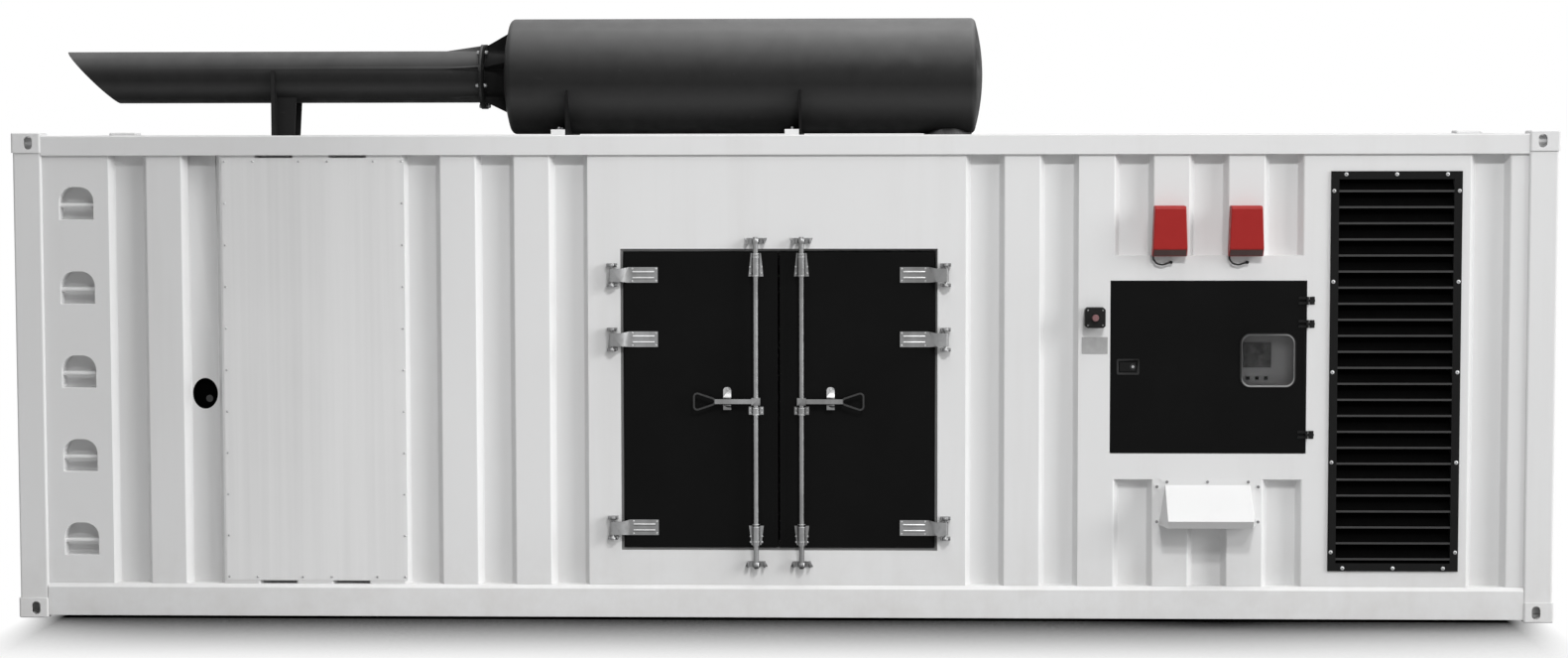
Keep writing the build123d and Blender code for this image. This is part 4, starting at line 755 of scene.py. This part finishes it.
def weld_tree():
    """A run of overlapping weld beads along edges, each of its own size."""
    tree = start_tree("weld_run", Pitch=0.01, Width=0.009, Metal=None)
    make, link = tree.nodes.new, tree.links.new
    source, sink = make("NodeGroupInput"), make("NodeGroupOutput")
    path = make("GeometryNodeMeshToCurve")
    link(source.outputs["Geometry"], path.inputs["Mesh"])
    steps = make("GeometryNodeResampleCurve")
    steps.mode = "LENGTH"
    link(path.outputs[0], steps.inputs["Curve"])
    link(source.outputs["Pitch"], steps.inputs["Length"])
    bead = make("GeometryNodeMeshIcoSphere")
    bead.inputs["Subdivisions"].default_value = 1
    link(tree_maths(tree, "MULTIPLY", source.outputs["Width"], 0.5), bead.inputs["Radius"])
    spread = make("FunctionNodeRandomValue")
    spread.data_type = "FLOAT_VECTOR"
    spread.inputs["Min"].default_value = (1.1, 0.85, 0.5)
    spread.inputs["Max"].default_value = (1.4, 1.1, 0.7)
    spread.inputs["Seed"].default_value = 7
    beads = on_points(tree, steps.outputs[0], bead.outputs["Mesh"], "X",
                      make("GeometryNodeInputTangent").outputs[0], source.outputs["Metal"],
                      spread.outputs["Value"])
    link(beads, sink.inputs[0])
    return tree


def evaluated_mesh(made):
    """An object's mesh after its modifiers, or along its curve, as plain mesh data."""
    bpy.context.view_layer.update()
    graph = bpy.context.evaluated_depsgraph_get()
    return bpy.data.meshes.new_from_object(made.evaluated_get(graph))


def mesh_from(name, work):
    """The worked mesh as mesh data; the work is used up."""
    mesh = bpy.data.meshes.new(name)
    work.to_mesh(mesh)
    work.free()
    return mesh


def finished_copy(name, work, sharp=32):
    """A worked copy of a node's mesh that stands for the node, shaded smooth up to this angle."""
    mesh = mesh_from(name + "_finished", work)
    for finish in nodes[name].data.materials:
        mesh.materials.append(finish)
    mesh.polygons.foreach_set("use_smooth", [True] * len(mesh.polygons))
    mesh.set_sharp_from_angle(angle=math.radians(sharp))
    piece = plain_object(name + "_finished", mesh)
    piece.modifiers.new("even_shading", "WEIGHTED_NORMAL").keep_sharp = True
    plain = evaluated_mesh(piece)
    piece.modifiers.clear()
    piece.data = plain
    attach(piece, BODY_OF[name])
    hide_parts(name)


def joined_mesh(name):
    """A node's mesh to work on, with its faces joined at their shared points."""
    work = bmesh.new()
    work.from_mesh(nodes[name].data)
    bmesh.ops.remove_doubles(work, verts=work.verts, dist=1e-5)
    return work


def round_off(work, edges, width, segments):
    bmesh.ops.bevel(work, geom=edges, offset=width, offset_type="OFFSET", segments=segments,
                    profile=0.5, affect="EDGES", clamp_overlap=True)


def rounded(name, width, wanted, segments=2, shape=None):
    """A copy of a node whose wanted edges are rounded off, as pressed or planed steel is.

    The shape, where one is given, first moves the copy's points."""
    work = joined_mesh(name)
    for point in work.verts if shape else ():
        shape(point.co)
    bmesh.ops.dissolve_limit(work, angle_limit=math.radians(0.3), verts=work.verts,
                             edges=work.edges, delimit={"MATERIAL"})
    chosen = [edge for edge in work.edges if len(edge.link_faces) == 2
              and edge.calc_face_angle(0.0) > math.radians(18) and wanted(edge)]
    round_off(work, chosen, width, segments)
    finished_copy(name, work)


def run_of(edge):
    """The direction and length of an edge."""
    run = edge.verts[1].co - edge.verts[0].co
    return run.normalized(), run.length


def is_fold(outward):
    """A test for upright folds between two faces that look outward."""
    def test(edge):
        run, length = run_of(edge)
        return abs(run.z) > 0.999 and length > 0.05 and all(abs(f.normal.dot(outward)) > 0.3
                                                           for f in edge.link_faces)
    return test


def is_long(axis):
    """A test for edges of more than a metre along an axis, x, y or z."""
    def test(edge):
        run, length = run_of(edge)
        return abs(getattr(run, axis)) > 0.999 and length > 1.0
    return test


def longer_than(least):
    return lambda edge: run_of(edge)[1] > least


def is_pocket_rim(edge):
    """Whether an edge is on the outer rim of a ladder pocket."""
    return all(abs(point.co.y - WALL_FACE) < 0.0005 and -4.30 < point.co.x < -4.06
               for point in edge.verts)


def grown(name, start, tree, body, **inputs):
    """The tree's result on this mesh as one plain mesh that rides on a body."""
    source = plain_object(name + "_source", start)
    modifier = source.modifiers.new("grow", "NODES")
    modifier.node_group = tree
    identifiers = {item.name: item.identifier for item in tree.interface.items_tree
                   if item.in_out == "INPUT"}
    for label, value in inputs.items():
        modifier[identifiers[label.replace("_", " ")]] = value
    result = evaluated_mesh(source)
    bpy.data.objects.remove(source)
    result.name = name
    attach(plain_object(name, result), body)


def added(name, mesh, finish, body):
    """A mesh made here, with its finish, that rides on a body."""
    mesh.materials.append(finish)
    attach(plain_object(name, mesh), body)


def swept(name, runs, radius, resolution, closed):
    """A round bar along each run of points, as mesh data."""
    path = bpy.data.curves.new(name, "CURVE")
    path.dimensions = "3D"
    path.bevel_depth = radius
    path.bevel_resolution = resolution
    path.use_fill_caps = not closed
    for run in runs:
        line = path.splines.new("POLY")
        line.points.add(len(run) - 1)
        for point, at in zip(line.points, run):
            point.co = (*at, 1)
        line.use_cyclic_u = closed
    source = plain_object(name + "_path", path)
    mesh = evaluated_mesh(source)
    bpy.data.objects.remove(source)
    return mesh


def heads(name, body, places, metal, sides, head, washer, recess=0.0):
    """Fastener heads at these places, each a point and the direction in which its head stands.

    The head and the washer are each a width and a height."""
    mesh = bpy.data.meshes.new(name + "_points")
    mesh.from_pydata([tuple(at) for at, _ in places], [], [])
    attribute = mesh.attributes.new("out", "FLOAT_VECTOR", "POINT")
    for item, (_, outward) in zip(attribute.data, places):
        item.vector = outward
    grown(name, mesh, FASTENERS, body, Metal=metal, Sides=sides, Head_width=head[0],
          Head_height=head[1], Washer_width=washer[0], Washer_height=washer[1], Recess=recess)


def evenly(first, pitch, count):
    return [first + pitch * number for number in range(count)]


def cover_screws():
    """Screws round the cover plate, on the lands of the wall behind it."""
    face = WALL_FACE - 0.003
    columns = (-3.294, -3.124, -2.851, -2.680, -2.405, -2.238)
    levels = evenly(0.249, 0.2476, 11)
    places = [((x, face, z), FRONT) for x in columns for z in (levels[0], levels[-1])]
    places += [((x, face, z), FRONT) for x in (columns[0], columns[-1]) for z in levels[1:-1]]
    heads("cover_screws", "container", places, BRIGHT, 12, (0.012, 0.004), (0.015, 0.001), 0.006)


def louvre_screws():
    """Screws in the louvre frames: front, mirrored at the rear, and the outlet on the left end."""
    places = []
    for face, outward in ((-LOUVRE_FACE, FRONT), (LOUVRE_FACE, REAR)):
        places += [((x, face, z), outward)
                   for z in (2.642, 0.320) for x in (3.322, LOUVRE_X, 3.912)]
        places += [((x, face, 2.545 - 0.5325 * row), outward)
                   for x in (3.252, 3.982) for row in range(5)]
    places += [((OUTLET_FACE, y, z), LEFT)
               for z in (0.524, 2.426) for y in evenly(-0.62, 0.31, 5)]
    places += [((OUTLET_FACE, y, z), LEFT)
               for y in (-0.752, 0.752) for z in evenly(0.66, 0.4075, 5)]
    heads("louvre_screws", "container", places, BRIGHT, 12, (0.018, 0.005), (0.024, 0.0015), 0.01)


def door_bolts():
    """Bolts in the straps, rod guides and catches of each leaf."""
    strap_face, guide_face, catch_face = (WALL_FACE - depth for depth in (0.008, 0.006, 0.005))
    strap_bolts = ((0.866, 0.037), (0.726, 0.036))
    guide_bolts = ((2.062, 2.1), (1.2365, 1.2605), (0.466, 0.5))
    for side, body in LEAVES:
        places = []
        for level in HINGE_LEVELS:
            places += [((DOOR_X + side * u, strap_face, level + off), FRONT)
                       for u, rise in strap_bolts for off in (-rise, rise)]
        for levels in guide_bolts:
            places += [((DOOR_X + side * ROD_U + off, guide_face, z), FRONT)
                       for off in (-0.033, 0.033) for z in levels]
        places.append(((DOOR_X + side * CATCH_U, catch_face, 1.370), FRONT))
        heads(body + "_bolts", body, places, BRIGHT, 14, (0.011, 0.005), (0.014, 0.001))


def flange_bolts():
    """Bolts and nuts round the exhaust joint, one between each two gussets."""
    places = []
    for number in range(GUSSETS):
        turn = math.radians(90 + 360 * (number + 0.5) / GUSSETS)
        y, z = BOLT_CIRCLE * math.cos(turn), EXHAUST_Z + BOLT_CIRCLE * math.sin(turn)
        places += [((FLANGE_X - FLANGE_T, y, z), LEFT), ((FLANGE_X + FLANGE_T, y, z), RIGHT)]
    heads("flange_bolts", "container", places, ZINC, 6, (0.026, 0.015), (0.03, 0.003))


def roof_bolts():
    """Bolts on the pads beside the silencer's saddles."""
    beside, pad_top = 0.05, 2.912
    places = [((x - beside, side * y, pad_top), UP)
              for x in SADDLE_XS for side in (-1, 1) for y in (0.17, 0.33)]
    heads("pad_bolts", "container", places, ZINC, 6, (0.022, 0.012), (0.032, 0.003))


def bay_screws():
    """Screws of the stop box, the hood's flange and ears and the control hinges, and the latch's
    lock in its dark recess."""
    box_x, box_face, box_z, corner = 1.857, -1.264, 1.803, 0.044
    places = [((box_x + dx, box_face, box_z + dz), FRONT)
              for dx in (-corner, corner) for dz in (-corner, corner)]
    heads("stop_box_screws", "container", places, ZINC, 12, (0.009, 0.002), (0.01, 0.0005), 0.005)

    flange_face, flange_z, ear_face = -1.198, 0.829, WALL_FACE - 0.003
    places = [((x, flange_face, flange_z), FRONT) for x in (2.288, HOOD_X, 2.766)]
    places += [((x, ear_face, z), FRONT) for x in (2.229, 2.825) for z in HOOD_EAR_LEVELS]
    heads("hood_bolts", "container", places, ZINC, 6, (0.013, 0.007), (0.018, 0.0015))

    for name, body, x, proud, rise in (
            ("hinge_plate_screws", "container", CONTROL_HINGE_X, 0.0055, 0.014),
            ("hinge_leaf_screws", "control_door_body", 3.070, 0.004, 0.015)):
        places = [((x, WALL_FACE - proud, z + dz), FRONT)
                  for z in CONTROL_HINGE_LEVELS for dz in (-rise, rise)]
        heads(name, body, places, MOULDING, 12, (0.009, 0.003), (0.01, 0.0005))

    lock_x, lock_z, recess_height = 2.083, 1.510, 0.0009
    paddle_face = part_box("latch_paddle")[0].y
    heads("latch_lock_recess", "latch", [((lock_x, paddle_face, lock_z), FRONT)], RUBBER, 16,
          (0.03, 0.0003), (0.036, 0.0006))
    heads("latch_lock", "latch", [((lock_x, paddle_face - recess_height, lock_z), FRONT)], BRIGHT,
          16, (0.013, 0.0012), (0.015, 0.0004), 0.006)


def hood_ears():
    """Four small ears that hold the sheet hood to the wall."""
    reach, half, cut, thick = 0.028, 0.019, 0.008, 0.003
    work = bmesh.new()
    for side, x in ((-1, 2.243), (1, 2.811)):
        near, far = x + side * (reach - cut), x + side * reach
        for z in HOOD_EAR_LEVELS:
            outline = [(x, z - half), (near, z - half), (far, z - half + cut),
                       (far, z + half - cut), (near, z + half), (x, z + half)]
            ring = [work.verts.new((at, WALL_FACE, up)) for at, up in outline]
            face = work.faces.new(ring if side < 0 else ring[::-1])
            raised = bmesh.ops.extrude_face_region(work, geom=[face])["geom"]
            bmesh.ops.translate(work, vec=(0, -thick, 0),
                                verts=[item for item in raised
                                       if isinstance(item, bmesh.types.BMVert)])
    bmesh.ops.recalc_face_normals(work, faces=work.faces)
    added("hood_ears", mesh_from("hood_ears", work), PAINT, "container")


def hinge_feet():
    """Full-height feet of the control hinges, on the wall."""
    width, thick, height = 0.030, 0.0055, 0.046
    work = bmesh.new()
    for level in CONTROL_HINGE_LEVELS:
        made = bmesh.ops.create_cube(work, size=1.0)["verts"]
        bmesh.ops.scale(work, vec=(width, thick, height), verts=made)
        bmesh.ops.translate(work, vec=(CONTROL_HINGE_X, WALL_FACE - thick / 2, level), verts=made)
    bmesh.ops.bevel(work, geom=list(work.edges), offset=0.0015, segments=2, profile=0.5,
                    affect="EDGES")
    added("control_hinge_feet", mesh_from("control_hinge_feet", work), MOULDING, "container")


def ring_round_exhaust(x, radius, count=96):
    turns = [2 * math.pi * k / count for k in range(count)]
    return [(x, radius * math.cos(turn), EXHAUST_Z + radius * math.sin(turn)) for turn in turns]


def exhaust_welds():
    """Seams of the silencer's shell and of the pipes into their flanges."""
    rings = [ring_round_exhaust(x, 0.3572) for x in SEAM_XS]
    rings += [ring_round_exhaust(FLANGE_X + side * FLANGE_T, 0.1625) for side in (-1, 1)]
    points, edges = [], []
    for ring in rings:
        first = len(points)
        points += ring
        edges += [(first + k, first + (k + 1) % len(ring)) for k in range(len(ring))]
    path = bpy.data.meshes.new("exhaust_welds_path")
    path.from_pydata(points, edges, [])
    grown("exhaust_welds", path, WELDS, "container", Pitch=0.008, Width=0.007, Metal=EXHAUST)


def door_seal():
    """Bulb seal all round the stop behind the double doors."""
    y, half, low, high, bulb, corner = -1.1312, 0.905, 0.448, 2.174, 0.0021, 0.02
    corners = [Vector(at) for at in ((DOOR_X - half, low), (DOOR_X + half, low),
                                     (DOOR_X + half, high), (DOOR_X - half, high))]
    bends = []
    for number, at in enumerate(corners):
        into = at - corners[number - 1]
        onward = corners[(number + 1) % 4] - at
        start = at - into.normalized() * corner
        end = at + onward.normalized() * corner
        bends += [start, at * 0.5 + (start + end) * 0.25, end]
    seal = swept("door_seal", [[(at.x, y, at.y) for at in bends]], bulb, 2, closed=True)
    added("door_seal", seal, RUBBER, "container")


def guide_collars():
    """Rolled rims at both ends of each rod guide's wrap."""
    levels = (2.178, 2.160, 2.050, 1.268, 1.229, 0.577, 0.560, 0.474)
    rod_y, wrap, rim, steps = -1.239, 0.0215, 0.0026, 20
    turns = [math.pi * (1 + k / steps) for k in range(steps + 1)]
    for side, body in LEAVES:
        rod_x = DOOR_X + side * ROD_U
        rings = [[(rod_x + wrap * math.cos(turn), rod_y + wrap * math.sin(turn), z)
                  for turn in turns] for z in levels]
        added(body + "_collars", swept(body + "_collars", rings, rim, 1, closed=False), BRIGHT,
              body)


def recessed_door_frame():
    """The door frame with its face set back in the opening, so that the panels' cut edges show."""
    set_back = 0.013
    work = joined_mesh("door_frame")
    for point in work.verts:
        if point.co.y < WALL_FACE + 0.001:
            point.co.y += set_back
    finished_copy("door_frame", work)


def pinched_hood(at):
    """The hood's front a little narrower than its foot, and its lip turned back."""
    foot_y, foot_z, pinch = WALL_FACE - 0.0035, 0.82, 0.88
    lip_y, lip_z, turned_back = -1.39, 0.58, 0.045
    if at.y < foot_y and at.z < foot_z:
        at.x = HOOD_X + (at.x - HOOD_X) * pinch
    if at.y < lip_y and at.z < lip_z:
        at.y += turned_back


def flared_guide(at, rod_x):
    """The outer ends of the top and bottom guides' plates, drawn in."""
    upper, lower, drawn_in = 2.15, 0.46, 0.68
    if 0.035 < abs(at.x - rod_x) < 0.05 and (at.z > upper or at.z < lower):
        at.x = rod_x + (at.x - rod_x) * drawn_in


def widened_strap(at):
    """The hinge straps' edges, 92 mm apart on the leaf and 78 mm at the hinge."""
    out, strap_from, hinge_from = abs(at.x - DOOR_X), 0.7, 0.895
    for level in HINGE_LEVELS:
        off = at.z - level
        if out > strap_from and 0.030 < abs(off) < 0.05:
            at.z = level + math.copysign(0.046 if out < hinge_from else 0.039, off)


def shaped_gear(name, side):
    """A leaf's gear with straps that widen on the leaf, guides that flare and a catch with a
    round top."""
    work = joined_mesh(name)
    rod_x = DOOR_X + side * ROD_U
    catch_x = DOOR_X + side * CATCH_U
    catch_top, catch_foot = 1.39, 1.27

    def on_catch_side(at):
        return abs(abs(at.x - catch_x) - CATCH_HALF) < 0.001

    for point in work.verts:
        at = point.co
        flared_guide(at, rod_x)
        if on_catch_side(at):
            at.z -= 0.016 if at.z > catch_top else 0.011 if at.z < catch_foot else 0.0
        widened_strap(at)
    corners = [edge for edge in work.edges if edge.is_manifold and abs(run_of(edge)[0].y) > 0.99
               and all(on_catch_side(point.co) and point.co.z > 1.37 for point in edge.verts)]
    round_off(work, corners, 0.019, 5)
    finished_copy(name, work)


def tapered_keepers():
    """The keepers with low plates, drawn in towards the leaves."""
    upper, lower, flatter, drawn_in = 2.255, 0.335, 0.7, 0.014
    work = joined_mesh("rod_keepers")
    for point in work.verts:
        at = point.co
        middle = upper if at.z > 1.0 else lower
        for side, _ in LEAVES:
            off = at.x - DOOR_X - side * ROD_U
            if 0.06 < abs(off) < 0.07 and 0.34 < at.z < 2.25:
                at.x -= math.copysign(drawn_in, off)
        at.z = middle + (at.z - middle) * flatter
    finished_copy("rod_keepers", work)


def thickened_leads():
    """The sounders' leads, 3 mm thicker than the solids."""
    skin = 0.0015
    leads = joined_mesh("sounder_leads")
    leads.normal_update()
    for point in leads.verts:
        point.co += point.normal * skin
    finished_copy("sounder_leads", leads)


def refine_nodes():
    """Rounded or smoothly shaded copies of the nodes whose edges show."""
    fold, edge, hood_edge, sounder_edge = 0.007, 0.004, 0.0025, 0.006
    for name in ("front_wall_left", "front_wall_middle", "front_wall_at_bay", "front_wall_right",
                 "rear_wall"):
        rounded(name, fold, is_fold(FRONT), 3)
    rounded("end_walls", fold, is_fold(LEFT), 3)
    rounded("bottom_side_rails", edge, is_long("x"))
    rounded("end_sills", edge, is_long("y"))
    rounded("ladder_panel", edge, is_pocket_rim)
    rounded("vent_hood", hood_edge, longer_than(0.03), shape=pinched_hood)
    rounded("alarm_sounders", sounder_edge, longer_than(0.01))
    rounded("stop_box", edge, longer_than(0.01))
    finished_copy("corner_castings", joined_mesh("corner_castings"), sharp=14)
    for name in ("corner_posts", "top_side_rails", "end_headers", "silencer", "outlet_neck",
                 "tail_pipe", "inlet_stub", "left_lock_rod", "right_lock_rod", "left_lock_handle",
                 "right_lock_handle", "hinge_brackets", "ladder_rungs", "lead_glands",
                 "stop_button", "window_gasket", "latch_dish", "control_hinge_leaves",
                 "control_hinge_plates"):
        finished_copy(name, joined_mesh(name))
    recessed_door_frame()
    shaped_gear("left_door_fittings", -1)
    shaped_gear("right_door_fittings", 1)
    thickened_leads()
    tapered_keepers()


photo_camera()
white_studio()
lamps()
studio_floor()
dress_nodes()
finish_parts_of_nodes()

FASTENERS = fastener_tree()
WELDS = weld_tree()
cover_screws()
louvre_screws()
door_bolts()
flange_bolts()
roof_bolts()
bay_screws()
hood_ears()
hinge_feet()
exhaust_welds()
door_seal()
guide_collars()
refine_nodes()
